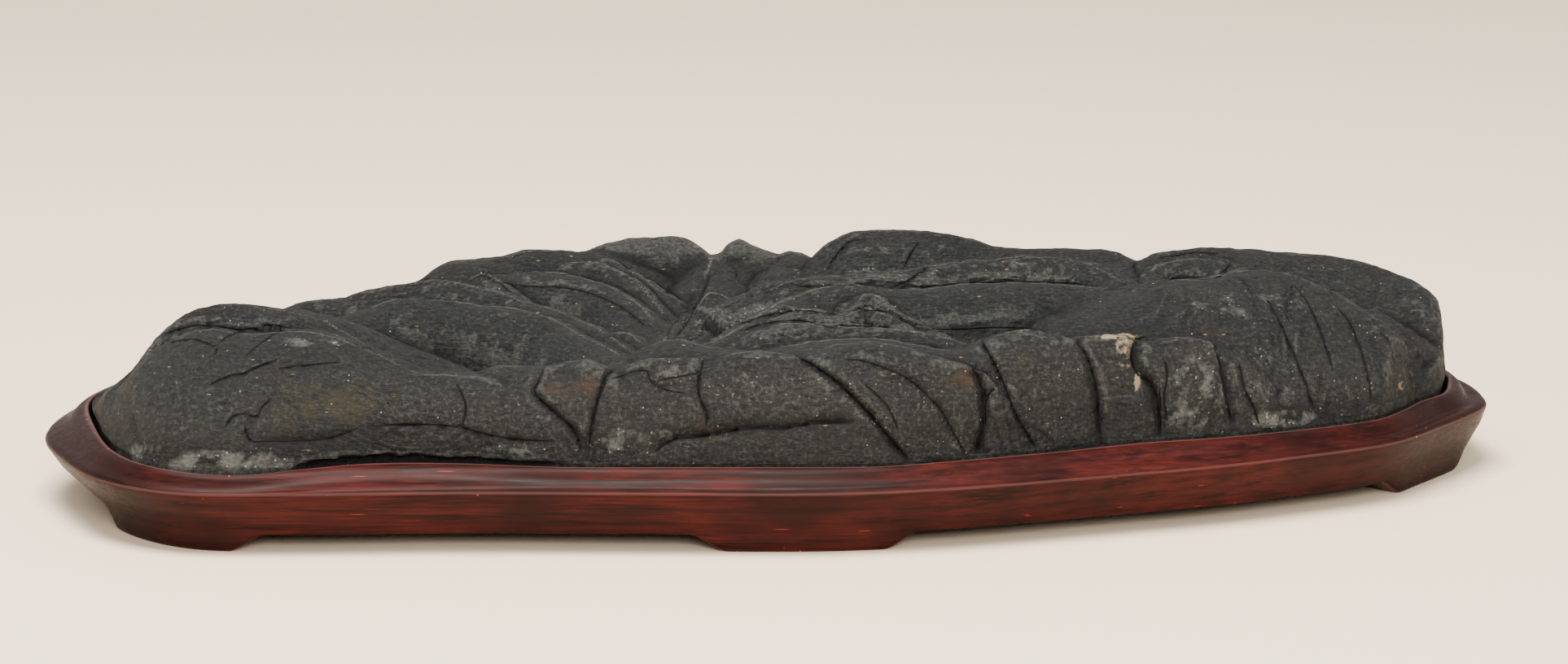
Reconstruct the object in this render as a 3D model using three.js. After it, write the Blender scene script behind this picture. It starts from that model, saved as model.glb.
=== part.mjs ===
// A scholar's rock on its carved wooden stand.
// Sizes are in millimetres: X runs along the stand, Y from front to back and Z up from the floor.
import * as THREE from "three";

// The stand's heights
const RECESS_FLOOR = 16; // the wood under the stone
const LIP_TOP = 27.2; // the edge that holds the stone
const LIP_DIP = 1.9; // how much lower the edge is at the left front
const ARRIS_HEIGHT = 21; // the sharp edge where the stand is widest
const APRON_BOTTOM = 5.5; // the underside of the side between the feet
const UNDERSIDE = 6.8; // the flat underside inside the side
const FOOT_THICKNESS = 11; // how far a foot reaches in from the side
const RECESS_BOTTOM_GAP = 0.4; // air between the stone and the recess floor
const RECESS_SIDE_GAP = 0.9; // air between the stone and the recess wall
const LIP_ROUND = 0.6; // the lip's edge is eased over this height
const LIP_LEAN = 0.8; // and this far outwards
const FOOT_STEP = 1; // the width of the step from a foot's back up to the underside

// The stand's widest line and the recess's line, seen from above, counter-clockwise
const ARRIS = [
  [-240.5, -28], [-232, -58], [-215, -90], [-188, -108.5], [-150, -110], [-100, -108], [-40, -109],
  [8, -110], [41, -106], [74, -97], [108, -85], [141, -73], [170, -59], [201, -41], [222, -15],
  [238, 10], [240.5, 26], [236, 50], [222, 76], [195, 94], [150, 104], [90, 110], [20, 110],
  [-50, 106], [-110, 98], [-160, 84], [-200, 62], [-225, 33], [-236, 5],
];
const RECESS = [
  [-228, -10], [-222, -42], [-211, -78], [-195, -98], [-170, -104], [-147, -100], [-125, -95.5],
  [-100, -96], [-65, -101], [-26, -101], [22, -101], [38, -99], [64, -90], [90, -80], [117, -68],
  [144, -60], [171, -49], [195, -36], [206, -22], [214, -8], [223, 4], [227, 20], [228, 34],
  [223, 55], [209, 72], [185, 85], [150, 92], [90, 98], [20, 98], [-50, 94], [-105, 87],
  [-150, 75], [-188, 56], [-212, 34], [-224, 12],
];
// The four places that part each line into front, right, back and left
const ARRIS_CORNERS = [[-203, -101], [209, -33], [214, 82], [-212, 52]];
const RECESS_CORNERS = [[-195, -98], [197, -35], [205, 75], [-200, 48]];

// Feet, by where their middle is on the arris and how long they are there
const FEET = [
  { near: [-201, -102], length: 58 },
  { near: [10, -110], length: 50 },
  { near: [223, -13], length: 38 },
  { near: [200, 92], length: 46 },
  { near: [10, 110], length: 50 },
  { near: [-196, 65], length: 50 },
];
const FOOT_FLARE = 8; // the length over which a foot curves into the apron

// How the faces are spread: along the front and back, along the ends, and from the top to the lip
const ALONG = 46;
const ACROSS = 18;
const DOWN = 12;

// Crest lines were read off a photograph: picture x, picture y and depth in millimetres behind the middle
const VIEW = {
  distance: 1650,
  pitch: THREE.MathUtils.degToRad(12),
  focal: 6077,
  middle: [963, 408],
  aim: [2.7, 49],
};

// The stone is the soft union of these crests. Each crest falls to its base height over its front and back
// widths, or down to the recess line on the side named as a wall.
const CRESTS = [
  { name: "dome sky", front: 15, back: 30, base: 42, blend: 1.5, fullFront: 2.4,
    crest: [[176, 445, -22], [190, 414, -28], [215, 394, -32], [250, 377, -34], [283, 373, -35],
      [320, 377, -37], [345, 381, -39], [378, 388, -42], [405, 397, -45], [435, 415, -52],
      [465, 434, -60], [495, 449, -68], [520, 459, -74]] },
  { name: "dome", wall: "front", back: 20, blend: 3, fullFront: 2.2, fullBack: 2.6, roundFront: 1.9,
    crest: [[158, 475, -50], [166, 460, -51], [180, 443, -54], [200, 422, -58], [230, 409, -60],
      [262, 405, -61], [290, 409, -62], [325, 411, -63], [350, 409, -64], [380, 407, -66],
      [410, 414, -69], [440, 426, -73], [465, 436, -77], [495, 452, -82], [522, 460, -85],
      [560, 460, -86], [600, 464, -88], [625, 474, -90], [645, 486, -92]] },
  { name: "end lobe", wall: "front", back: 22, blend: 3,
    crest: [[113, 506, -14], [122, 492, -16], [135, 484, -20], [150, 481, -28]] },
  { name: "end fill", wall: "front", back: 20, blend: 5,
    crest: [[125, 510, -34], [145, 500, -44], [158, 500, -50]] },
  { name: "end back", wall: "back", front: 16, blend: 2,
    crest: [[122, 484, 18], [135, 475, 16], [150, 465, 10], [165, 456, 2]] },
  { name: "left back", wall: "back", front: 20, blend: 4,
    crest: [[190, 440, 30], [220, 408, 32], [260, 386, 34], [300, 384, 36], [350, 386, 40]] },
  { name: "wall left back", wall: "front", back: 18, blend: 2, fullFront: 2.4,
    crest: [[575, 462, -80], [592, 456, -79], [605, 450, -79], [625, 449, -79], [650, 450, -80],
      [675, 452, -82]] },
  { name: "block", wall: "front", fullFront: 2.8,
    crest: [[660, 456, -87], [680, 449, -88], [700, 446, -89], [722, 444, -90], [737, 449, -91],
      [748, 458, -92]] },
  { name: "notch", wall: "front", back: 26, blend: 3,
    crest: [[735, 472, -84], [757, 462, -83], [780, 455, -82]] },
  { name: "front a", wall: "front", blend: 2, fullFront: 2.6,
    crest: [[748, 468, -90], [762, 456, -89], [780, 446, -89], [800, 441, -89], [830, 440, -89],
      [855, 441, -90], [866, 446, -90]] },
  { name: "front a back", wall: "front", back: 18, fullFront: 2.5,
    crest: [[775, 446, -76], [792, 429, -74], [815, 419, -72], [838, 418, -72], [860, 424, -74],
      [890, 428, -76], [920, 432, -80]] },
  { name: "plate a", wall: "front", back: 18, fullFront: 2.6,
    crest: [[862, 455, -90], [885, 440, -89], [905, 434, -88], [930, 431, -88], [955, 434, -88],
      [975, 438, -88], [992, 446, -89], [1010, 458, -90], [1030, 470, -91], [1050, 488, -92]] },
  { name: "plate b", wall: "front", back: 12, blend: 1, fullFront: 3.4,
    crest: [[978, 439, -84], [1000, 431, -83], [1030, 424, -82], [1060, 420, -82],
      [1090, 423, -82], [1120, 428, -83], [1145, 437, -84], [1165, 441, -85], [1185, 448, -86],
      [1199, 455, -86]] },
  { name: "plate c", wall: "front", back: 14, fullFront: 3.2, lap: 1.5,
    crest: [[930, 432, -78], [960, 427, -75], [1000, 419, -73], [1050, 416, -72], [1100, 419, -72],
      [1150, 428, -75], [1190, 438, -78], [1215, 447, -79], [1228, 462, -80]] },
  { name: "sweep", front: 12, back: 9, base: 38, blend: 1,
    crest: [[905, 420, -60], [925, 408, -58], [950, 400, -56], [975, 396, -55], [1010, 398, -56],
      [1040, 402, -58], [1075, 402, -59], [1110, 405, -61], [1150, 412, -65], [1180, 421, -68],
      [1205, 431, -71], [1225, 444, -74]] },
  { name: "plate d", wall: "front", fullFront: 3.2, lap: 1,
    crest: [[1185, 426, -71], [1210, 416, -71], [1240, 409, -71], [1262, 406, -70],
      [1290, 412, -69], [1318, 418, -68]] },
  { name: "plate e", wall: "front", back: 14, blend: 1, fullFront: 3, lap: 1,
    crest: [[1322, 416, -64], [1345, 412, -62], [1365, 411, -61], [1385, 412, -59],
      [1398, 418, -58]] },
  { name: "plate f", wall: "front", back: 18, blend: 3, fullFront: 2.3,
    crest: [[1405, 424, -56], [1430, 416, -54], [1460, 415, -52], [1485, 420, -50],
      [1503, 432, -49]] },
  { name: "right lobe", wall: "front", blend: 3, fullFront: 2.2, roundFront: 1.8,
    crest: [[1400, 352, -8], [1430, 343, -6], [1470, 342, -4], [1500, 335, 0], [1530, 332, 2],
      [1560, 334, 2], [1590, 340, 1], [1620, 352, -2], [1650, 366, -6], [1680, 390, -11],
      [1698, 410, -17]] },
  { name: "right lobe end", front: 16, back: 14, base: 24, blend: 4,
    crest: [[1680, 390, -11], [1700, 412, -16], [1709, 440, -20], [1712, 465, -25],
      [1711, 490, -29]] },
  { name: "broad face", front: 19, back: 14, blend: 2, fullFront: 2.3, base: 46,
    crest: [[1075, 354, -10], [1120, 356, -9], [1160, 352, -8], [1200, 349, -6], [1250, 348, -5],
      [1300, 350, -6], [1350, 355, -8], [1380, 365, -12], [1402, 380, -16]] },
  { name: "band", back: 18, base: 48, blend: 1, front: 15,
    crest: [[925, 366, 5], [945, 352, 8], [960, 347, 12], [1000, 341, 16], [1060, 336, 20],
      [1120, 331, 22], [1160, 323, 26], [1200, 320, 28], [1270, 315, 30], [1320, 320, 28],
      [1350, 331, 22], [1375, 345, 14], [1398, 362, 4]] },
  { name: "shoulder", front: 16, back: 12, blend: 1,
    crest: [[860, 428, -62], [880, 420, -56], [905, 405, -46], [930, 389, -36], [960, 370, -24],
      [1000, 356, -16], [1040, 350, -12], [1065, 352, -12]] },
  { name: "knot a", front: 9, back: 7, base: 48, blend: 1,
    crest: [[1040, 372, -24], [1060, 362, -20], [1080, 366, -22], [1100, 384, -30],
      [1130, 400, -42], [1155, 409, -52]] },
  { name: "knot b", front: 9, back: 7, base: 48, blend: 1,
    crest: [[950, 392, -40], [985, 380, -36], [1010, 383, -38], [1040, 386, -40], [1062, 379, -36],
      [1085, 386, -40], [1110, 398, -48]] },
  { name: "tongue", front: 13, back: 10, blend: 1,
    crest: [[832, 412, -14], [842, 395, 4], [855, 375, 24], [870, 361, 38], [890, 365, 36],
      [905, 373, 28], [920, 379, 20]] },
  { name: "small peak", wall: "back", front: 22, base: 36, blend: 2,
    crest: [[876, 330, 66], [884, 313, 74], [895, 300, 79], [908, 294, 81], [920, 299, 81],
      [940, 306, 80], [957, 313, 78]] },
  { name: "small peak right", wall: "back", front: 18, base: 38, blend: 2,
    crest: [[957, 314, 76], [970, 308, 76], [985, 311, 74], [997, 318, 72]] },
  { name: "big peak", wall: "back", front: 24, base: 36, blend: 3,
    crest: [[985, 330, 60], [1000, 310, 66], [1015, 298, 68], [1030, 290, 70], [1050, 283, 70],
      [1075, 282, 70], [1110, 283, 70], [1150, 284, 70], [1180, 290, 70], [1212, 300, 68],
      [1240, 304, 66], [1300, 305, 64], [1350, 306, 62], [1372, 311, 60], [1390, 321, 56]] },
  { name: "right back", wall: "back", front: 26, blend: 3, fullFront: 2.2,
    crest: [[1392, 328, 46], [1400, 322, 50], [1415, 313, 54], [1440, 307, 57], [1500, 305, 60],
      [1560, 309, 60], [1620, 312, 58], [1660, 318, 54], [1700, 330, 48], [1735, 345, 40]] },
  { name: "right end", wall: "back", front: 30, blend: 3, fullFront: 2.5,
    crest: [[1735, 345, 40], [1755, 366, 33], [1763, 390, 28], [1768, 420, 22], [1770, 450, 15],
      [1771, 478, 7]] },
  { name: "right fill", wall: "front", back: 24, blend: 4,
    crest: [[1685, 380, 12], [1715, 400, 8], [1740, 425, 4], [1752, 450, 2]] },
  { name: "left fill", back: 22, base: 24, blend: 5,
    crest: [[150, 472, -8], [175, 450, 4], [205, 425, 14]] },
  { name: "right mid", front: 12, back: 10, base: 48, blend: 2,
    crest: [[1402, 346, 22], [1420, 328, 36], [1450, 320, 42], [1490, 319, 42], [1515, 324, 38]] },
  { name: "fold 1", front: 19, back: 11, base: 36, fullFront: 2.2,
    crest: [[418, 392, -10], [435, 385, -8], [455, 380, -6], [475, 371, -5], [500, 367, -5],
      [530, 367, -6], [560, 370, -8], [600, 376, -12], [640, 380, -16], [665, 388, -20],
      [690, 397, -24], [710, 410, -32], [745, 425, -42], [762, 438, -52], [778, 450, -60]] },
  { name: "fold 2", front: 15, base: 38, back: 11,
    crest: [[348, 381, 18], [365, 374, 18], [390, 366, 18], [412, 368, 18], [430, 363, 18],
      [450, 356, 18], [470, 352, 19], [500, 349, 20], [520, 345, 20], [545, 344, 18],
      [570, 350, 14], [600, 357, 10], [620, 362, 8], [645, 372, 2], [680, 380, -4],
      [700, 388, -10], [730, 402, -20], [760, 420, -34], [790, 443, -52]] },
  { name: "fold 2 back", wall: "back", front: 20, base: 34, blend: 4,
    crest: [[345, 384, 44], [380, 372, 50], [430, 360, 56], [500, 348, 60]] },
  { name: "fold 3", front: 18, back: 10, base: 38, fullFront: 2.2,
    crest: [[600, 337, 42], [640, 334, 40], [680, 334, 38], [700, 338, 36], [720, 342, 34],
      [750, 352, 28], [770, 365, 20], [790, 380, 10], [806, 397, 0], [814, 410, -6]] },
  { name: "fold 3b", front: 11, back: 8, blend: 1,
    crest: [[700, 322, 48], [730, 322, 48], [750, 328, 45], [775, 340, 38], [795, 360, 26],
      [815, 385, 12], [828, 402, 2]] },
  { name: "fold 3c", front: 10, back: 8, base: 44, blend: 1,
    crest: [[745, 318, 56], [770, 328, 50], [795, 345, 40], [815, 360, 32], [842, 378, 22]] },
  { name: "fold 3 sky", wall: "back", front: 20, base: 34, blend: 2,
    crest: [[520, 344, 50], [532, 333, 52], [548, 325, 54], [575, 319, 56], [600, 317, 57],
      [620, 313, 58], [640, 309, 60], [665, 307, 62], [700, 309, 63], [720, 311, 63]] },
  { name: "fold 3 small", front: 10, back: 8, base: 44, blend: 1,
    crest: [[575, 346, 34], [590, 336, 36], [605, 340, 34], [625, 355, 26], [642, 369, 16]] },
  { name: "back peak", wall: "back", front: 24, base: 34, blend: 2,
    crest: [[715, 312, 66], [740, 302, 72], [760, 295, 76], [800, 290, 79], [825, 289, 80],
      [840, 291, 80], [850, 298, 78], [865, 308, 74], [873, 318, 70], [868, 335, 60],
      [858, 352, 48]] },
  { name: "valley lobe", front: 9, back: 8, blend: 1,
    crest: [[738, 413, -28], [760, 408, -26], [776, 412, -28], [790, 423, -36], [800, 430, -42]] },
  { name: "valley", front: 13, base: 38, blend: 3,
    crest: [[850, 372, 40], [838, 396, 10], [822, 414, -12], [800, 440, -40], [775, 455, -70]] },
];
const CREST_DEFAULTS = {
  front: 22, back: 16, blend: 1.5, fullFront: 2, fullBack: 2, roundFront: 2, roundBack: 2, lap: 0,
};
const INNER_BASE = 42; // what an inner crest falls to
const WALL_BASE = 24; // what a wall falls to at the recess line
const RIM_RADIUS = 13; // how far in from its edge the stone may reach its full height
const RIM_RISE = 50; // how much higher than the wall's base it may be there
const OUTSIDE_FALL = 6; // the fall for each millimetre outside the edge
const LAP_FALL = 5; // the same for a wall that starts inside the edge
const BELOW_ALL = -50; // lower than any crest
const STEPS_PER_SPAN = 2; // straight steps between two crest points
const LINE_STEPS = 1200; // straight steps round each closed line
const EDGE_SKIP = 6; // every sixth of them is enough for the distance to the edge
const NEAR_POWER = -8; // a crest step counts by its distance to this power
const NEAR_EASE = 0.5; // added to that distance, so it never reaches zero
const SMALLEST = 1e-6;

// Where the stone's outline runs in the photograph, from left to right. Nothing of the stone stands above it.
const SKYLINE = [
  [88, 519], [104, 507], [113, 502], [122, 492], [129, 484], [150, 466], [163, 455], [176, 438],
  [190, 419], [203, 406], [215, 395], [227, 388], [240, 380], [262, 376], [290, 373], [310, 374],
  [330, 378], [350, 380], [362, 374], [378, 369], [400, 368], [425, 366], [437, 361], [450, 356],
  [480, 351], [508, 348], [520, 343], [530, 334], [540, 327], [552, 321], [570, 318], [600, 317],
  [620, 314], [640, 309], [660, 307], [718, 309], [735, 303], [750, 297], [780, 292], [810, 289],
  [840, 291], [852, 297], [864, 307], [874, 314], [884, 312], [897, 299], [908, 294], [920, 299],
  [940, 306], [957, 312], [970, 308], [985, 311], [997, 318], [1010, 303], [1035, 288], [1050, 283],
  [1080, 281], [1140, 283], [1170, 289], [1200, 296], [1218, 303], [1235, 305], [1350, 306],
  [1372, 310], [1388, 318], [1396, 323], [1404, 318], [1415, 312], [1440, 307], [1480, 305],
  [1520, 306], [1560, 309], [1620, 312], [1650, 318], [1680, 324], [1706, 333], [1738, 347],
  [1754, 356], [1762, 365], [1768, 376], [1772, 390], [1775, 412], [1777, 440], [1779, 470],
];
const SKYLINE_BLEND = 1;
const SKYLINE_LOWEST = 28; // the stone still fills its recess where the outline is lower than this

// Grooves down the front wall, as seen, with their depth in millimetres and their half width in the picture
const GROOVE_START = 12; // a groove reaches its depth over this much of the picture
const GROOVE_END = 10; // and goes on below its last point for this much
const GROOVE_FACING = 2; // grooves fade out where the wall turns away from the front
const GROOVE_FOOT = { height: 26, fade: 3 }; // they start above this height
const GROOVES = [
  { depth: 2.2, width: 16, line: [[160, 476], [156, 500], [163, 530], [175, 575]] },
  { depth: 2.4, width: 16, line: [[665, 448], [655, 480], [668, 495], [700, 520], [722, 572]] },
  { depth: 2.4, width: 18, line: [[757, 452], [738, 480], [732, 500], [727, 574]] },
  { depth: 1.6, width: 20, line: [[865, 440], [858, 470], [866, 510], [868, 574]] },
  { depth: 3, width: 16, line: [[975, 436], [1030, 470], [1070, 510], [1122, 575]] },
  { depth: 3.4, width: 18, line: [[1194, 446], [1209, 490], [1210, 515], [1202, 568]] },
  { depth: 1.8, width: 14, line: [[1218, 440], [1245, 500], [1276, 565]] },
  { depth: 3.2, width: 18, line: [[1320, 410], [1345, 480], [1355, 552]] },
  { depth: 3.4, width: 18, line: [[1402, 410], [1398, 445], [1420, 490], [1424, 546]] },
  { depth: 2.6, width: 16, line: [[1498, 424], [1507, 460], [1518, 538]] },
];

// A closed smooth line through plan points, as many small steps
function closedLine(points) {
  const through = points.map(([x, y]) => new THREE.Vector3(x, y, 0));
  const line = new THREE.CatmullRomCurve3(through, true, "catmullrom", 0.5);
  line.arcLengthDivisions = LINE_STEPS;
  return line.getSpacedPoints(LINE_STEPS).slice(0, -1);
}

function nearestIndex(line, [x, y]) {
  let best = 0;
  line.forEach((p, i) => {
    if (Math.hypot(p.x - x, p.y - y) < Math.hypot(line[best].x - x, line[best].y - y)) best = i;
  });
  return best;
}

// Places in the line for each column of faces, counted from the first corner
function columnPlaces(line, corners) {
  const starts = corners.map((corner) => nearestIndex(line, corner));
  const places = [];
  starts.forEach((start, side) => {
    const count = side % 2 === 0 ? ALONG : ACROSS;
    let end = starts[(side + 1) % 4];
    if (end < start) end += line.length;
    for (let i = 0; i < count; i++) places.push(start + ((end - start) * i) / count);
  });
  return places;
}

function pointAt(line, place) {
  const i = Math.floor(place);
  const a = line[i % line.length];
  return a.clone().lerp(line[(i + 1) % line.length], place - i);
}

// The outward direction of a counter-clockwise loop of columns, smoothed over its neighbours
function outward(loop) {
  return loop.map((_, i) => {
    const before = loop[(i + loop.length - 1) % loop.length];
    const after = loop[(i + 1) % loop.length];
    return new THREE.Vector3(after.y - before.y, before.x - after.x, 0).normalize();
  });
}

// A place seen in the photograph, at a known depth
function seen([px, py, depth]) {
  const { distance, pitch, focal, middle, aim } = VIEW;
  const cos = Math.cos(pitch);
  const sin = Math.sin(pitch);
  const right = (px - middle[0]) / focal;
  const up = (middle[1] - py) / focal;
  const eye = new THREE.Vector3(aim[0], -distance * cos, aim[1] + distance * sin);
  const ray = new THREE.Vector3(right, cos + up * sin, -sin + up * cos);
  return eye.addScaledVector(ray, (depth - eye.y) / ray.y);
}

// Where a place shows in the photograph
function shown(p) {
  const { distance, pitch, focal, middle, aim } = VIEW;
  const cos = Math.cos(pitch);
  const sin = Math.sin(pitch);
  const y = p.y + distance * cos;
  const z = p.z - aim[1] - distance * sin;
  const depth = y * cos - z * sin;
  return [middle[0] + (focal * (p.x - aim[0])) / depth, middle[1] - (focal * (y * sin + z * cos)) / depth];
}

const recessLine = closedLine(RECESS);
const arrisLine = closedLine(ARRIS);
const recessLoop = columnPlaces(recessLine, RECESS_CORNERS).map((place) => pointAt(recessLine, place));
const arrisLoop = columnPlaces(arrisLine, ARRIS_CORNERS).map((place) => pointAt(arrisLine, place));
const columns = recessLoop.length;

const crests = CRESTS.map((given) => {
  const curve = new THREE.CatmullRomCurve3(given.crest.map(seen), false, "catmullrom", 0.5);
  const base = given.wall ? WALL_BASE : INNER_BASE;
  const line = curve.getPoints((given.crest.length - 1) * STEPS_PER_SPAN);
  return { ...CREST_DEFAULTS, base, wall: "", ...given, line };
});

// Distance from a plan point in to the stone's edge, negative outside
const edgeLine = recessLine.filter((_, i) => i % EDGE_SKIP === 0);
function insideBy(x, y) {
  let nearest = Infinity;
  let side = 1;
  edgeLine.forEach((a, i) => {
    const b = edgeLine[(i + 1) % edgeLine.length];
    const dx = b.x - a.x;
    const dy = b.y - a.y;
    const t = THREE.MathUtils.clamp(((x - a.x) * dx + (y - a.y) * dy) / (dx * dx + dy * dy), 0, 1);
    const ex = x - a.x - t * dx;
    const ey = y - a.y - t * dy;
    const gap = ex * ex + ey * ey;
    if (gap < nearest) {
      nearest = gap;
      side = ey * dx - ex * dy < 0 ? -1 : 1;
    }
  });
  return side * Math.sqrt(nearest) - RECESS_SIDE_GAP;
}

// The highest that the stone may be this far inside its edge
function rimHeight(inside) {
  if (inside < 0) return WALL_BASE + OUTSIDE_FALL * inside;
  const short = 1 - Math.min(inside / RIM_RADIUS, 1);
  return WALL_BASE + RIM_RISE * Math.sqrt(1 - short * short);
}

// One crest's own height at a plan point
function crestHeight(crest, x, y, inside) {
  const { line, base, wall, lap } = crest;
  let nearest = Infinity;
  let total = 0;
  let top = 0;
  let side = 0;
  for (let i = 0; i + 1 < line.length; i++) {
    const a = line[i];
    const dx = line[i + 1].x - a.x;
    const dy = line[i + 1].y - a.y;
    const length = Math.hypot(dx, dy);
    const t = THREE.MathUtils.clamp(((x - a.x) * dx + (y - a.y) * dy) / (length * length), 0, 1);
    const ex = x - a.x - t * dx;
    const ey = y - a.y - t * dy;
    const gap = Math.hypot(ex, ey) + SMALLEST;
    const weight = length * (gap + NEAR_EASE) ** NEAR_POWER;
    nearest = Math.min(nearest, gap);
    total += weight;
    top += weight * (a.z + t * (line[i + 1].z - a.z));
    side += (weight * (ey * dx - ex * dy)) / (length * gap);
  }
  const room = nearest + Math.max(inside - lap, 0);
  const toBack = 0.5 + (0.5 * side) / total;
  const front = wall === "front" || wall === "both" ? room : crest.front;
  const back = wall === "back" || wall === "both" ? room : crest.back;
  const width = THREE.MathUtils.lerp(front, back, toBack);
  const full = THREE.MathUtils.lerp(crest.fullFront, crest.fullBack, toBack);
  const round = THREE.MathUtils.lerp(crest.roundFront, crest.roundBack, toBack);
  const share = Math.max(1 - (nearest / width) ** full, 0) ** (1 / round);
  let height = base + (top / total - base) * share - Math.max(nearest - width, 0);
  if (wall && inside < lap) height = Math.min(height, WALL_BASE - LAP_FALL * (lap - inside));
  return Math.min(height, rimHeight(inside));
}

// How high a plan point reaches the outline in the photograph
function skyHeight(x, y) {
  const [px] = shown(new THREE.Vector3(x, y, INNER_BASE));
  let i = 0;
  while (i < SKYLINE.length - 2 && px > SKYLINE[i + 1][0]) i++;
  const [[fromX, fromY], [toX, toY]] = SKYLINE.slice(i, i + 2);
  const t = THREE.MathUtils.clamp((px - fromX) / (toX - fromX), 0, 1);
  return Math.max(seen([px, THREE.MathUtils.lerp(fromY, toY, t), y]).z, SKYLINE_LOWEST);
}

// The stone's top at a plan point
function stoneHeight(x, y) {
  const inside = insideBy(x, y);
  const free = crests.reduce((height, crest) => {
    const next = crestHeight(crest, x, y, inside);
    const mix = Math.max(crest.blend - Math.abs(height - next), 0) / crest.blend;
    return Math.max(height, next) + (mix * mix * crest.blend) / 4;
  }, BELOW_ALL);
  const sky = skyHeight(x, y);
  const mix = Math.max(SKYLINE_BLEND - Math.abs(free - sky), 0) / SKYLINE_BLEND;
  return Math.min(free, sky) - (mix * mix * SKYLINE_BLEND) / 4;
}

// How far the grooves set the front wall back at a place
function grooveDepth(p) {
  const [px, py] = shown(p);
  return GROOVES.reduce((sum, { depth, width, line }) => {
    const last = line.length - 1;
    if (py < line[0][1] || py > line[last][1] + GROOVE_END) return sum;
    let i = 0;
    while (i < last - 1 && py > line[i + 1][1]) i++;
    const t = THREE.MathUtils.clamp((py - line[i][1]) / (line[i + 1][1] - line[i][1]), 0, 1);
    const off = Math.abs(px - THREE.MathUtils.lerp(line[i][0], line[i + 1][0], t));
    const fade = THREE.MathUtils.clamp((py - line[0][1]) / GROOVE_START, 0, 1);
    return sum + depth * fade * Math.exp(-off / width);
  }, 0);
}

// A list of coordinates, and a way to add a point to it that gives the point's number
function pointList() {
  const positions = [];
  const add = (p) => {
    positions.push(p.x, p.y, p.z);
    return positions.length / 3 - 1;
  };
  return { positions, add };
}

// Closed surfaces are rows of points; each row is a loop with the same number of columns
function closeRows(positions, rows, topFaces) {
  const faces = [...topFaces];
  for (let r = 0; r + 1 < rows.length; r++) {
    for (let i = 0; i < columns; i++) {
      const j = (i + 1) % columns;
      faces.push(rows[r][i], rows[r + 1][i], rows[r + 1][j], rows[r][i], rows[r + 1][j], rows[r][j]);
    }
  }
  const geometry = new THREE.BufferGeometry();
  geometry.setAttribute("position", new THREE.Float32BufferAttribute(positions, 3));
  geometry.setIndex(faces);
  geometry.computeVertexNormals();
  return geometry;
}

// A fan of faces from a middle point to a loop
function fan(middle, loop, up) {
  return loop.flatMap((a, i) => {
    const b = loop[(i + 1) % loop.length];
    return up ? [middle, a, b] : [middle, b, a];
  });
}

// Inner loop from which the stone's sides are measured, and its top patch between the four corners
const CORE = new THREE.Vector3(0.88, 0.7, 1);
const CORE_HEIGHT = 27;
const SEAT_HEIGHT = 25.5; // the side is upright from here down into the recess
const REACH = 75; // no point of the sides is farther than this from the core
const REACH_STEPS = 50;
const HALVINGS = 12;

function topPatch() {
  const loop = recessLoop.map((p) => p.clone().multiply(CORE));
  const front = loop.slice(0, ALONG + 1);
  const right = loop.slice(ALONG, ALONG + ACROSS + 1);
  const back = loop.slice(ALONG + ACROSS, 2 * ALONG + ACROSS + 1).reverse();
  const left = [...loop.slice(2 * ALONG + ACROSS), loop[0]].reverse();
  const grid = [];
  for (let j = 0; j <= ACROSS; j++) {
    const v = j / ACROSS;
    grid.push([]);
    for (let i = 0; i <= ALONG; i++) {
      const u = i / ALONG;
      const p = front[i].clone().multiplyScalar(1 - v).addScaledVector(back[i], v);
      p.addScaledVector(left[j], 1 - u).addScaledVector(right[j], u);
      p.addScaledVector(front[0], (u - 1) * (1 - v)).addScaledVector(front[ALONG], -u * (1 - v));
      p.addScaledVector(back[0], (u - 1) * v).addScaledVector(back[ALONG], -u * v);
      grid[j].push(p.setZ(stoneHeight(p.x, p.y)));
    }
  }
  return grid;
}

// The last point of the stone along a ray that leaves the core
function surfaceAlong(start, direction) {
  const at = (length) => start.clone().addScaledVector(direction, length);
  const inStone = (p) => p.z < stoneHeight(p.x, p.y);
  let inner = 0;
  for (let step = 1; step <= REACH_STEPS; step++) {
    const length = (REACH * step) / REACH_STEPS;
    if (inStone(at(length))) inner = length;
  }
  let outer = inner + REACH / REACH_STEPS;
  for (let halving = 0; halving < HALVINGS; halving++) {
    const middle = (inner + outer) / 2;
    if (inStone(at(middle))) inner = middle;
    else outer = middle;
  }
  return at(inner);
}

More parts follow.
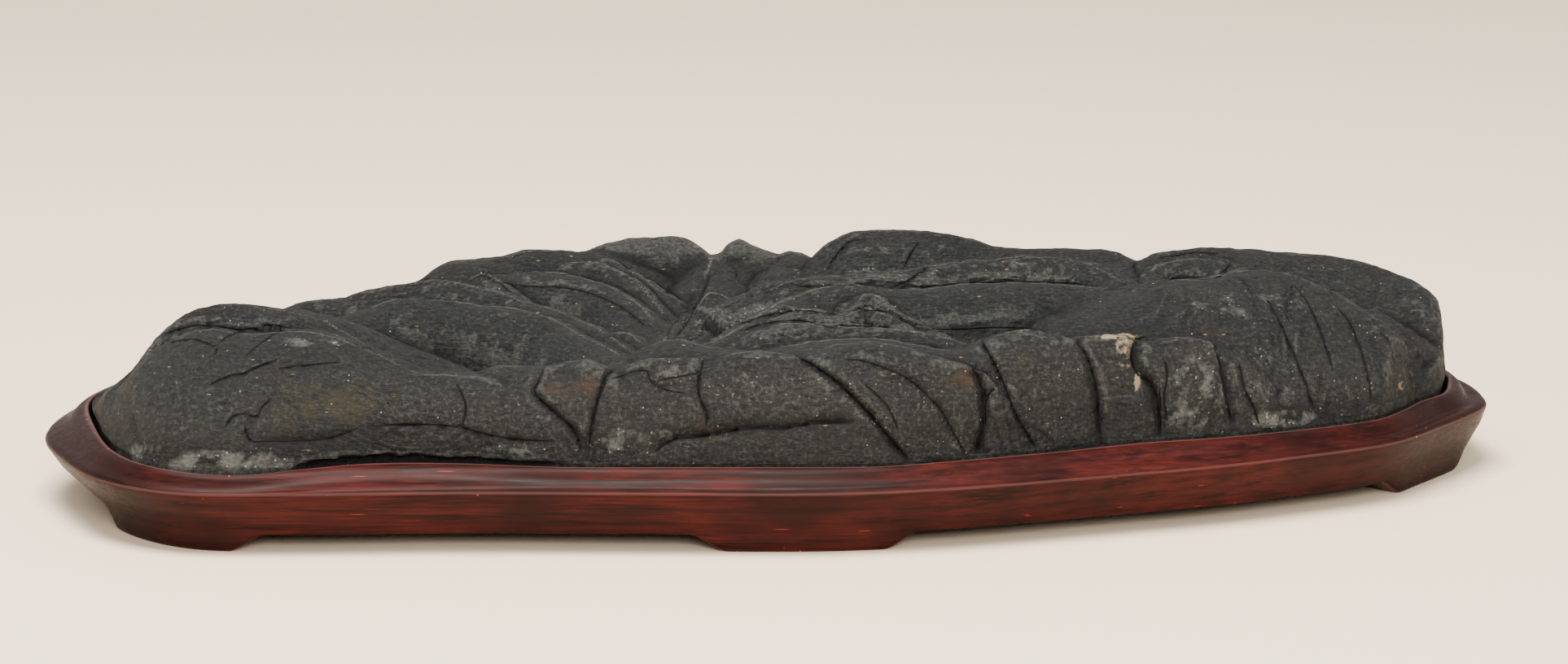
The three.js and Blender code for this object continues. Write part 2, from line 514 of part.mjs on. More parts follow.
function stoneGeometry() {
  const { positions, add } = pointList();
  const patch = topPatch().map((row) => row.map(add));
  const faces = [];
  for (let j = 0; j < ACROSS; j++) {
    for (let i = 0; i < ALONG; i++) {
      const [a, b] = [patch[j][i], patch[j][i + 1]];
      const [d, c] = [patch[j + 1][i], patch[j + 1][i + 1]];
      faces.push(a, b, c, a, c, d);
    }
  }
  const column = (i) => patch.map((row) => row[i]);
  const rim = [
    ...patch[0].slice(0, -1),
    ...column(ALONG).slice(0, -1),
    ...[...patch[ACROSS]].reverse().slice(0, -1),
    ...column(0).reverse().slice(0, -1),
  ];
  const rows = [rim];
  const normals = outward(recessLoop);
  for (let row = 1; row <= DOWN; row++) {
    const lean = (row / DOWN) * (Math.PI / 2);
    rows.push(recessLoop.map((edge, i) => {
      const start = edge.clone().multiply(CORE);
      const direction = edge.clone().sub(start).setLength(Math.sin(lean)).setZ(Math.cos(lean));
      const p = surfaceAlong(start.setZ(CORE_HEIGHT), direction);
      const facing = THREE.MathUtils.clamp(-GROOVE_FACING * normals[i].y, 0, 1);
      const above = THREE.MathUtils.clamp((p.z - GROOVE_FOOT.height) / GROOVE_FOOT.fade, 0, 1);
      return add(p.addScaledVector(normals[i], -grooveDepth(p) * facing * above));
    }));
  }
  for (const height of [SEAT_HEIGHT, RECESS_FLOOR + RECESS_BOTTOM_GAP]) {
    rows.push(recessLoop.map((edge, i) =>
      add(edge.clone().addScaledVector(normals[i], -RECESS_SIDE_GAP).setZ(height))));
  }
  const middle = add(new THREE.Vector3(0, 0, RECESS_FLOOR + RECESS_BOTTOM_GAP));
  faces.push(...fan(middle, rows.at(-1), false));
  return closeRows(positions, rows, faces);
}

// 1 where a foot stands on the floor, 0 under the apron, with a soft curve between
function footShare(p) {
  return Math.max(...FEET.map(({ near, length }) => {
    const past = Math.hypot(p.x - near[0], p.y - near[1]) - length / 2;
    return 1 - THREE.MathUtils.smoothstep(past, 0, FOOT_FLARE);
  }));
}

// The lip dips once, at the left front
const DIP_X = -172;
const DIP_HALF_LENGTH = 26;
function lipHeight(p) {
  const dip = p.y < 0 ? Math.exp(-(((p.x - DIP_X) / DIP_HALF_LENGTH) ** 2)) : 0;
  return LIP_TOP - LIP_DIP * dip;
}

// The rim between the lip and the arris: share of the way out, and how much lower than the lip
const RIM = [[0.3, 1.2], [0.52, 3.4], [0.72, 4.6]];

// How far the side is in from the arris at a height below it: it bulges, then draws in
const SIDE = [[21, 0], [18.4, 0.5], [14, 2], [10, 4.2], [APRON_BOTTOM, 6.6]];
const LEFT_UNDERCUT = { more: 0.9, from: 150, to: 235 }; // the left end draws in this much more

function standGeometry() {
  const { positions, add } = pointList();
  const outside = outward(arrisLoop);
  const inside = outward(recessLoop);
  const { more, from, to } = LEFT_UNDERCUT;
  const undercut = arrisLoop.map((p) => 1 + more * THREE.MathUtils.smoothstep(-p.x, from, to));
  const inset = (i, by, height) =>
    add(arrisLoop[i].clone().addScaledVector(outside[i], -by).setZ(height));
  const row = (place) => recessLoop.map((p, i) => place(p, i));
  const rim = ([share, drop]) => row((p, i) =>
    add(p.clone().lerp(arrisLoop[i], share).setZ(lipHeight(p) - drop)));
  const bottom = arrisLoop.map((p) => APRON_BOTTOM * (1 - footShare(p)));
  const drawn = SIDE.at(-1)[1];
  const rows = [
    row((p) => add(p.clone().setZ(RECESS_FLOOR))),
    row((p) => add(p.clone().setZ(lipHeight(p) - LIP_ROUND))),
    row((p, i) => add(p.clone().addScaledVector(inside[i], LIP_LEAN).setZ(lipHeight(p)))),
    ...RIM.map(rim),
    row((p, i) => inset(i, 0, ARRIS_HEIGHT)),
    ...SIDE.slice(1, -1).map(([height, by]) => row((p, i) => inset(i, by * undercut[i], height))),
    row((p, i) => inset(i, drawn * undercut[i], bottom[i])),
    row((p, i) => inset(i, drawn * undercut[i] + FOOT_THICKNESS, bottom[i])),
    row((p, i) => inset(i, drawn * undercut[i] + FOOT_THICKNESS + FOOT_STEP, UNDERSIDE)),
  ];
  const floor = add(new THREE.Vector3(0, 0, RECESS_FLOOR));
  const under = add(new THREE.Vector3(0, 0, UNDERSIDE));
  const faces = [...fan(floor, rows[0], true), ...fan(under, rows.at(-1), false)];
  return closeRows(positions, rows, faces);
}

const slate = new THREE.MeshStandardMaterial({ color: "#4c4c48", roughness: 0.72, metalness: 0 });
const rosewood = new THREE.MeshStandardMaterial({ color: "#5e2a1f", roughness: 0.38, metalness: 0 });

const stone = new THREE.Mesh(stoneGeometry(), slate);
stone.name = "stone";
const stand = new THREE.Mesh(standGeometry(), rosewood);
stand.name = "stand";

const rockOnStand = new THREE.Group();
rockOnStand.add(stand, stone);

export default rockOnStand;
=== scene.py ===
"""A scholar's rock, a dark folded limestone, resting in the recess of its carved rosewood stand.

Lengths are millimetres unless a name says otherwise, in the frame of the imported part: X runs along the
stand, Y from front to back and Z up from the floor. Meshes are made in metres.
"""
import math

import bpy
import numpy as np
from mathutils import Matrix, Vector
from mathutils.bvhtree import BVHTree


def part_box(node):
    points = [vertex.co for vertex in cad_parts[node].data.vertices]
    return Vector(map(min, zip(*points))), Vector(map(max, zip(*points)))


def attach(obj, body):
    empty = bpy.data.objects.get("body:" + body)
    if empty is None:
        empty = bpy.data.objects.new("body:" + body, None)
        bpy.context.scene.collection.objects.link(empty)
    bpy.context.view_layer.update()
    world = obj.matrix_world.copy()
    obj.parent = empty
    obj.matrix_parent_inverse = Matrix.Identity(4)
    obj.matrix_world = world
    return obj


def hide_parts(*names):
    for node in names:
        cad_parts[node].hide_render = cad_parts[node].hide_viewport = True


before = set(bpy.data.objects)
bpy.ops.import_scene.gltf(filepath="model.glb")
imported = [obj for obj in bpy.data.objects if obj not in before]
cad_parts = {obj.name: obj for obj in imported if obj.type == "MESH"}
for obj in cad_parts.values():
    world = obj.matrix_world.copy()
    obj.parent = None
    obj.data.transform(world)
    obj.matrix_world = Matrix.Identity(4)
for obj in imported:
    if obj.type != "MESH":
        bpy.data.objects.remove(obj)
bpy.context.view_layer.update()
MM = 0.001

# The viewpoint of the photograph, and the picture in its own pixels
VIEW_DISTANCE = 1650
VIEW_PITCH = math.radians(12)
VIEW_COS = math.cos(VIEW_PITCH)
VIEW_SIN = math.sin(VIEW_PITCH)
VIEW_AIM = np.array([2.7, 0.0, 49.0])
VIEW_BACK = np.array([0, -VIEW_COS, VIEW_SIN])
EYE = VIEW_AIM + VIEW_DISTANCE * VIEW_BACK
PICTURE_WIDTH = 1926
PICTURE_MIDDLE = (963, 408)
FOCAL_PIXELS = 6077
SENSOR = 36

# The stand's heights, its lip with the dip at the left front, and the gaps between stone and stand
RECESS_FLOOR = 16
LIP_TOP = 27.2
LIP_DIP = 1.9
LIP_DIP_X = -172
LIP_DIP_HALF_LENGTH = 26
APRON_BOTTOM = 5.5
UNDERSIDE = 6.8
FOOT_THICKNESS = 11
SIDE_GAP = 0.9
FLOOR_GAP = 0.4

# The stand's widest line and the recess's line, seen from above, counter-clockwise, and on each the four
# places that part its front, right end, back and left end
ARRIS = [
    (-240.5, -28), (-232, -58), (-215, -90), (-188, -108.5), (-150, -110), (-100, -108), (-40, -109),
    (8, -110), (41, -106), (74, -97), (108, -85), (141, -73), (170, -59), (201, -41), (222, -15),
    (238, 10), (240.5, 26), (236, 50), (222, 76), (195, 94), (150, 104), (90, 110), (20, 110),
    (-50, 106), (-110, 98), (-160, 84), (-200, 62), (-225, 33), (-236, 5),
]
RECESS = [
    (-228, -10), (-222, -42), (-211, -78), (-195, -98), (-170, -104), (-147, -100), (-125, -95.5),
    (-100, -96), (-65, -101), (-26, -101), (22, -101), (38, -99), (64, -90), (90, -80), (117, -68),
    (144, -60), (171, -49), (195, -36), (206, -22), (214, -8), (223, 4), (227, 20), (228, 34),
    (223, 55), (209, 72), (185, 85), (150, 92), (90, 98), (20, 98), (-50, 94), (-105, 87),
    (-150, 75), (-188, 56), (-212, 34), (-224, 12),
]
ARRIS_CORNERS = [(-203, -101), (209, -33), (214, 82), (-212, 52)]
RECESS_CORNERS = [(-195, -98), (197, -35), (205, 75), (-200, 48)]

# Each foot, by where its middle is on the arris and how long it is there
FEET = [
    ((-201, -102), 58), ((10, -110), 50), ((223, -13), 38),
    ((200, 92), 46), ((10, 110), 50), ((-196, 65), 50),
]
FOOT_FLARE = 13

# The lip's section: how far out from the recess, and how far under the lip's top
LIP_ROWS = [(0, 3), (0, 0.6), (0.25, 0.15), (0.8, 0)]

# The rim's section: which share of the way from the recess to the arris, and how far under the lip's top
RIM_ROWS = [
    (0.16, 0.2), (0.28, 0.6), (0.36, 1.2), (0.43, 2.0), (0.50, 2.9), (0.58, 3.7), (0.68, 4.3), (0.81, 4.95),
    (0.93, 5.6),
]

# The side's section, from the arris down: how far in from the arris, and how high. Below its last row the
# side runs on to the floor or the apron's edge, by the shares of that way
ARRIS_INSET = 0.15
SIDE_ROWS = [
    (0.3, 21), (0.05, 20.5), (0, 20), (0.1, 19.3), (0.55, 18.2), (1.2, 16.2), (2.0, 14), (3.1, 12),
    (4.2, 10), (5.4, 7.7),
]
FOOT_INSET = 6.6
FOOT_SHARES = (0.35, 0.7, 0.92)
FOOT_ROUND = 0.35
UNDERSIDE_STEP = 1

# The stand's rows that are edges: the lip, the arris and the foot, and how many rows beside each get the
# painted highlight along the edges and the nicks
EDGE_ROWS = [(4, 1.0), (15.5, 1.0), (27, 1.0)]

# Where the stand's ends begin and are whole, by X, and how much more the left one draws in
END_START = 150
END_WHOLE = 235
LEFT_UNDERCUT = 0.9

# The rim's cove at the right end: its depth, where it begins and is whole by X, and its place on the rim
END_COVE = 1.7
COVE_START = 120
COVE_WHOLE = 200
COVE_MIDDLE = 0.56
COVE_WIDTH = 0.16

# The stone's height at the recess line and between its crests, the round over which it rises from its edge,
# and how steeply it is cut off outside that edge and outside a plate that stands back
WALL_BASE = 24
INNER_BASE = 42
RIM_RADIUS = 13
RIM_RISE = 50
RIM_FALL = 6
LAP_FALL = 5

# A crest's pull on the places near it: the power of the distance, and what softens it close by
PULL_POWER = 8.0
PULL_SOFT = 0.5
TINY = 1e-6

# How far around a crest its height is worked out, and a height that is under every crest
WALL_REACH = 60
SPARE_REACH = 6
NOWHERE = -50.0


def crest(name, line, wall="", **shape):
    """One crest of the stone. Its line holds picture x, picture y and depth behind the middle. It falls to
    its base over its front and back widths, or down to the recess on the side that is a wall. The lap is how
    far a wall stands back from the edge, the most is how wide a wall can fall, and the blend is the height
    over which it is joined to other crests. A higher power gives a fuller fall and a rounder top."""
    widths = dict(front=22, back=16, base=WALL_BASE if wall else INNER_BASE, blend=1.5, lap=0, most=90)
    powers = dict(full_front=2, full_back=2, round_front=2, round_back=2)
    return {"name": name, "line": line, "wall": wall, **widths, **powers, **shape}


CRESTS = [
    crest("dome sky", [(176, 445, -22), (190, 414, -28), (215, 394, -32), (250, 377, -34), (283, 373, -35),
        (320, 377, -37), (345, 381, -39), (378, 388, -42), (405, 397, -45), (435, 415, -52),
        (465, 434, -60), (495, 449, -68), (520, 459, -74)], front=15, back=30, full_front=2.4),
    crest("dome", [(158, 475, -50), (166, 460, -51), (180, 443, -54), (200, 422, -58), (230, 409, -60),
        (262, 405, -61), (290, 409, -62), (325, 411, -63), (350, 409, -64), (380, 407, -66),
        (410, 414, -69), (440, 426, -73), (465, 436, -77), (495, 452, -82), (522, 460, -85),
        (560, 460, -86), (600, 464, -88), (625, 474, -90), (645, 486, -92)], wall="front", back=20,
        full_front=2.2, round_front=1.9, full_back=2.6, blend=3),
    crest("end lobe", [(113, 506, -14), (122, 492, -16), (135, 484, -20), (150, 481, -28)], wall="front",
        back=22, blend=3),
    crest("end fill", [(125, 510, -34), (145, 500, -44), (158, 500, -50)], wall="front", back=20, blend=5),
    crest("end back", [(122, 484, 18), (135, 475, 16), (150, 465, 10), (165, 456, 2)], wall="back",
        front=16, blend=2),
    crest("left back", [(190, 440, 30), (220, 408, 32), (260, 386, 34), (300, 384, 36), (350, 386, 40)],
        wall="back", front=20, blend=4),
    crest("wall left back", [(575, 462, -80), (592, 456, -79), (605, 450, -79), (625, 449, -79),
        (650, 450, -80), (675, 452, -82)], wall="front", back=18, full_front=2.4, blend=2),
    crest("block", [(660, 456, -87), (680, 449, -88), (700, 446, -89), (722, 444, -90), (737, 449, -91),
        (748, 458, -92)], wall="front", back=16, full_front=2.8),
    crest("notch", [(735, 472, -84), (757, 462, -83), (780, 455, -82)], wall="front", back=26, blend=3),
    crest("front a", [(748, 468, -90), (762, 456, -89), (780, 446, -89), (800, 441, -89), (830, 440, -89),
        (855, 441, -90), (866, 446, -90)], wall="front", back=16, full_front=2.6, blend=2),
    crest("front a back", [(775, 446, -76), (792, 429, -74), (815, 419, -72), (838, 418, -72),
        (860, 424, -74), (890, 428, -76), (920, 432, -80)], wall="front", back=18, full_front=2.5),
    crest("plate a", [(862, 455, -90), (885, 440, -89), (905, 434, -88), (930, 431, -88), (955, 434, -88),
        (975, 438, -88), (992, 446, -89), (1010, 458, -90), (1030, 470, -91), (1050, 488, -92)],
        wall="front", back=18, full_front=2.6),
    crest("plate b", [(978, 439, -84), (1000, 431, -83), (1030, 424, -82), (1060, 420, -82),
        (1090, 423, -82), (1120, 428, -83), (1145, 437, -84), (1165, 441, -85), (1185, 448, -86),
        (1199, 455, -86)], wall="front", back=12, full_front=3.4, blend=1),
    crest("plate c", [(930, 432, -78), (960, 427, -75), (1000, 419, -73), (1050, 416, -72),
        (1100, 419, -72), (1150, 428, -75), (1190, 438, -78), (1215, 447, -79), (1228, 462, -80)],
        wall="front", back=14, lap=1.5, full_front=3.2),
    crest("sweep", [(905, 420, -60), (925, 408, -58), (950, 400, -56), (975, 396, -55), (1010, 398, -56),
        (1040, 402, -58), (1075, 402, -59), (1110, 405, -61), (1150, 412, -65), (1180, 421, -68),
        (1205, 431, -71), (1225, 444, -74)], front=12, back=9, base=38, blend=1),
    crest("plate d", [(1185, 426, -71), (1210, 416, -71), (1240, 409, -71), (1262, 406, -70),
        (1290, 412, -69), (1318, 418, -68)], wall="front", back=16, lap=1, full_front=3.2),
    crest("plate e", [(1322, 416, -64), (1345, 412, -62), (1365, 411, -61), (1385, 412, -59),
        (1398, 418, -58)], wall="front", back=14, lap=1, full_front=3, blend=1),
    crest("plate f", [(1405, 424, -56), (1430, 416, -54), (1460, 415, -52), (1485, 420, -50),
        (1503, 432, -49)], wall="front", back=18, full_front=2.3, blend=3),
    crest("right lobe", [(1400, 352, -8), (1430, 343, -6), (1470, 342, -4), (1500, 335, 0), (1530, 332, 2),
        (1560, 334, 2), (1590, 340, 1), (1620, 352, -2), (1650, 366, -6), (1680, 390, -11),
        (1698, 410, -17)], wall="front", back=16, full_front=2.2, round_front=1.8, blend=3),
    crest("right lobe end", [(1680, 390, -11), (1700, 412, -16), (1709, 440, -20), (1712, 465, -25),
        (1711, 490, -29)], front=16, back=14, base=24, blend=4),
    crest("broad face", [(1075, 354, -10), (1120, 356, -9), (1160, 352, -8), (1200, 349, -6),
        (1250, 348, -5), (1300, 350, -6), (1350, 355, -8), (1380, 365, -12), (1402, 380, -16)], front=19,
        back=14, full_front=2.3, blend=2, base=46),
    crest("band", [(925, 366, 5), (945, 352, 8), (960, 347, 12), (1000, 341, 16), (1060, 336, 20),
        (1120, 331, 22), (1160, 323, 26), (1200, 320, 28), (1270, 315, 30), (1320, 320, 28),
        (1350, 331, 22), (1375, 345, 14), (1398, 362, 4)], front=15, back=18, base=48, blend=1),
    crest("shoulder", [(860, 428, -62), (880, 420, -56), (905, 405, -46), (930, 389, -36), (960, 370, -24),
        (1000, 356, -16), (1040, 350, -12), (1065, 352, -12)], front=16, back=12, blend=1),
    crest("knot a", [(1040, 372, -24), (1060, 362, -20), (1080, 366, -22), (1100, 384, -30),
        (1130, 400, -42), (1155, 409, -52)], front=9, back=7, base=48, blend=1),
    crest("knot b", [(950, 392, -40), (985, 380, -36), (1010, 383, -38), (1040, 386, -40),
        (1062, 379, -36), (1085, 386, -40), (1110, 398, -48)], front=9, back=7, base=48, blend=1),
    crest("tongue", [(832, 412, -14), (842, 395, 4), (855, 375, 24), (870, 361, 38), (890, 365, 36),
        (905, 373, 28), (920, 379, 20)], front=22, back=9, base=36, blend=1),
    crest("small peak", [(876, 330, 66), (884, 313, 74), (895, 300, 79), (908, 294, 81), (920, 299, 81),
        (940, 306, 80), (957, 313, 78)], wall="back", front=24, base=30, blend=1, most=22),
    crest("small peak right", [(957, 314, 76), (970, 308, 76), (985, 311, 74), (997, 318, 72)],
        wall="back", front=14, base=30, blend=1, most=22),
    crest("big peak", [(985, 330, 60), (1000, 310, 66), (1015, 298, 68), (1030, 290, 70), (1050, 283, 70),
        (1075, 282, 70), (1110, 283, 70), (1150, 284, 70), (1180, 290, 70), (1212, 300, 68),
        (1240, 304, 66), (1300, 305, 64), (1350, 306, 62), (1372, 311, 60), (1390, 321, 56)], wall="back",
        front=24, base=30, blend=1, most=30),
    crest("right back", [(1392, 328, 46), (1400, 322, 50), (1415, 313, 54), (1440, 307, 57),
        (1500, 305, 60), (1560, 309, 60), (1620, 312, 58), (1660, 318, 54), (1700, 330, 48),
        (1735, 345, 40)], wall="back", front=26, full_front=2.2, blend=3),
    crest("right end", [(1735, 345, 40), (1755, 366, 33), (1763, 390, 28), (1768, 420, 22),
        (1770, 450, 15), (1771, 478, 7)], wall="back", front=30, full_front=2.5, blend=3),
    crest("right fill", [(1685, 380, 12), (1715, 400, 8), (1740, 425, 4), (1752, 450, 2)], wall="front",
        back=24, blend=4),
    crest("left fill", [(150, 472, -8), (175, 450, 4), (205, 425, 14)], front=22, back=22, base=24,
        blend=5),
    crest("right mid", [(1402, 346, 22), (1420, 328, 36), (1450, 320, 42), (1490, 319, 42),
        (1515, 324, 38)], front=12, back=10, base=48, blend=2),
    crest("fold 1", [(418, 392, -10), (435, 385, -8), (455, 380, -6), (475, 371, -5), (500, 367, -5),
        (530, 367, -6), (560, 370, -8), (600, 376, -12), (640, 380, -16), (665, 388, -20), (690, 397, -24),
        (710, 410, -32), (745, 425, -42), (762, 438, -52), (778, 450, -60)], front=19, back=11, base=36,
        full_front=2.2),
    crest("fold 2", [(348, 381, 18), (365, 374, 18), (390, 366, 18), (412, 368, 18), (430, 363, 18),
        (450, 356, 18), (470, 352, 19), (500, 349, 20), (520, 345, 20), (545, 344, 18), (570, 350, 14),
        (600, 357, 10), (620, 362, 8), (645, 372, 2), (680, 380, -4), (700, 388, -10), (730, 402, -20),
        (760, 420, -34), (790, 443, -52)], front=15, back=11, base=38),
    crest("fold 2 back", [(345, 384, 44), (380, 372, 50), (430, 360, 56), (500, 348, 60)], wall="back",
        front=20, base=34, blend=4),
    crest("fold 3", [(600, 337, 42), (640, 334, 40), (680, 334, 38), (700, 338, 36), (720, 342, 34),
        (750, 352, 28), (770, 365, 20), (790, 380, 10), (806, 397, 0), (814, 410, -6)], front=18, back=10,
        base=38, full_front=2.2),
    crest("fold 3b", [(700, 322, 48), (730, 322, 48), (750, 328, 45), (775, 340, 38), (795, 360, 26),
        (815, 385, 12), (828, 402, 2)], front=11, back=8, blend=1),
    crest("fold 3c", [(745, 318, 56), (770, 328, 50), (795, 345, 40), (815, 360, 32), (842, 378, 22)],
        front=10, back=8, base=44, blend=1),
    crest("fold 3 sky", [(520, 344, 50), (532, 333, 52), (548, 325, 54), (575, 319, 56), (600, 317, 57),
        (620, 313, 58), (640, 309, 60), (665, 307, 62), (700, 309, 63), (720, 311, 63)], wall="back",
        front=20, base=34, blend=2),
    crest("fold 3 small", [(575, 346, 34), (590, 336, 36), (605, 340, 34), (625, 355, 26), (642, 369, 16)],
        front=10, back=8, base=44, blend=1),
    crest("back peak", [(715, 312, 66), (740, 302, 72), (760, 295, 76), (800, 290, 79), (825, 289, 80),
        (840, 291, 80), (850, 298, 78), (865, 308, 74), (873, 318, 70), (868, 335, 60), (858, 352, 48)],
        wall="back", front=22, base=28, blend=1, most=26),
    crest("valley lobe", [(738, 413, -28), (760, 408, -26), (776, 412, -28), (790, 423, -36),
        (800, 430, -42)], front=9, back=8, blend=1),
    crest("valley", [(850, 372, 40), (838, 396, 10), (822, 414, -12), (800, 440, -40), (775, 455, -70)],
        front=13, back=16, base=38, blend=3),
]

# Where the stone's outline runs in the photograph, from left to right. Nothing of the stone stands above it.
SKYLINE = [
    (88, 519), (104, 507), (113, 502), (122, 492), (129, 484), (150, 466), (163, 455), (176, 438),
    (190, 419), (203, 406), (215, 395), (227, 388), (240, 380), (262, 376), (290, 373), (310, 374),
    (330, 378), (350, 380), (362, 374), (378, 369), (400, 368), (425, 366), (437, 361), (450, 356),
    (480, 351), (508, 348), (520, 343), (530, 334), (540, 327), (552, 321), (570, 318), (600, 317),
    (620, 314), (640, 309), (660, 307), (718, 309), (735, 303), (750, 297), (780, 292), (810, 289),
    (840, 291), (852, 297), (864, 307), (874, 314), (884, 312), (897, 299), (908, 294), (920, 299),
    (940, 306), (957, 312), (970, 308), (985, 311), (997, 318), (1010, 303), (1035, 288), (1050, 283),
    (1080, 281), (1140, 283), (1170, 289), (1200, 296), (1218, 303), (1235, 305), (1350, 306),
    (1372, 310), (1388, 318), (1396, 323), (1404, 318), (1415, 312), (1440, 307), (1480, 305),
    (1520, 306), (1560, 309), (1620, 312), (1650, 318), (1680, 324), (1706, 333), (1738, 347),
    (1754, 356), (1762, 365), (1768, 376), (1772, 390), (1775, 412), (1777, 440), (1779, 470),
]
SKYLINE_BLEND = 1
SKYLINE_LOWEST = 28

# Grooves that part the plates of the front wall: picture line, depth in millimetres and half width in
# pixels, and over how many pixels each of them begins and ends
PLATE_GROOVES = [
    ([(160, 476), (156, 500), (163, 530), (175, 575)], 1.1, 10.5),
    ([(520, 455), (526, 480), (530, 500), (534, 525), (540, 572)], 0.5, 9),
    ([(665, 448), (657, 470), (655, 480), (668, 495), (700, 520), (715, 540), (722, 572)], 1, 9),
    ([(757, 452), (745, 462), (738, 480), (732, 500), (728, 530), (727, 574)], 1.1, 9),
    ([(865, 440), (858, 470), (860, 490), (868, 510), (866, 530), (868, 574)], 0.7, 10.5),
    ([(975, 436), (990, 445), (1010, 458), (1030, 470), (1050, 490), (1070, 510), (1090, 535),
      (1110, 558), (1122, 575)], 1.5, 9),
    ([(1060, 441), (1100, 455), (1125, 470), (1150, 490), (1165, 510), (1180, 540), (1192, 570)], 0.8, 7.5),
    ([(1194, 446), (1203, 470), (1209, 490), (1210, 515), (1206, 540), (1202, 568)], 1.8, 10.5),
    ([(1218, 440), (1230, 465), (1245, 500), (1260, 535), (1276, 565)], 0.9, 9),
    ([(1320, 410), (1335, 445), (1345, 480), (1352, 520), (1355, 552)], 1.7, 9),
    ([(1402, 410), (1398, 445), (1410, 465), (1420, 490), (1425, 510), (1424, 546)], 1.8, 10.5),
    ([(1498, 424), (1507, 460), (1515, 500), (1518, 538)], 1.3, 9),
    ([(1518, 430), (1526, 470), (1535, 500), (1545, 532)], 0.5, 7.5),
    ([(1540, 440), (1545, 470), (1552, 500), (1558, 532)], 0.5, 7.5),
    ([(1588, 385), (1605, 420), (1618, 460), (1630, 490), (1640, 524)], 0.6, 7.5),
]
GROOVE_START = 12
GROOVE_END = 10

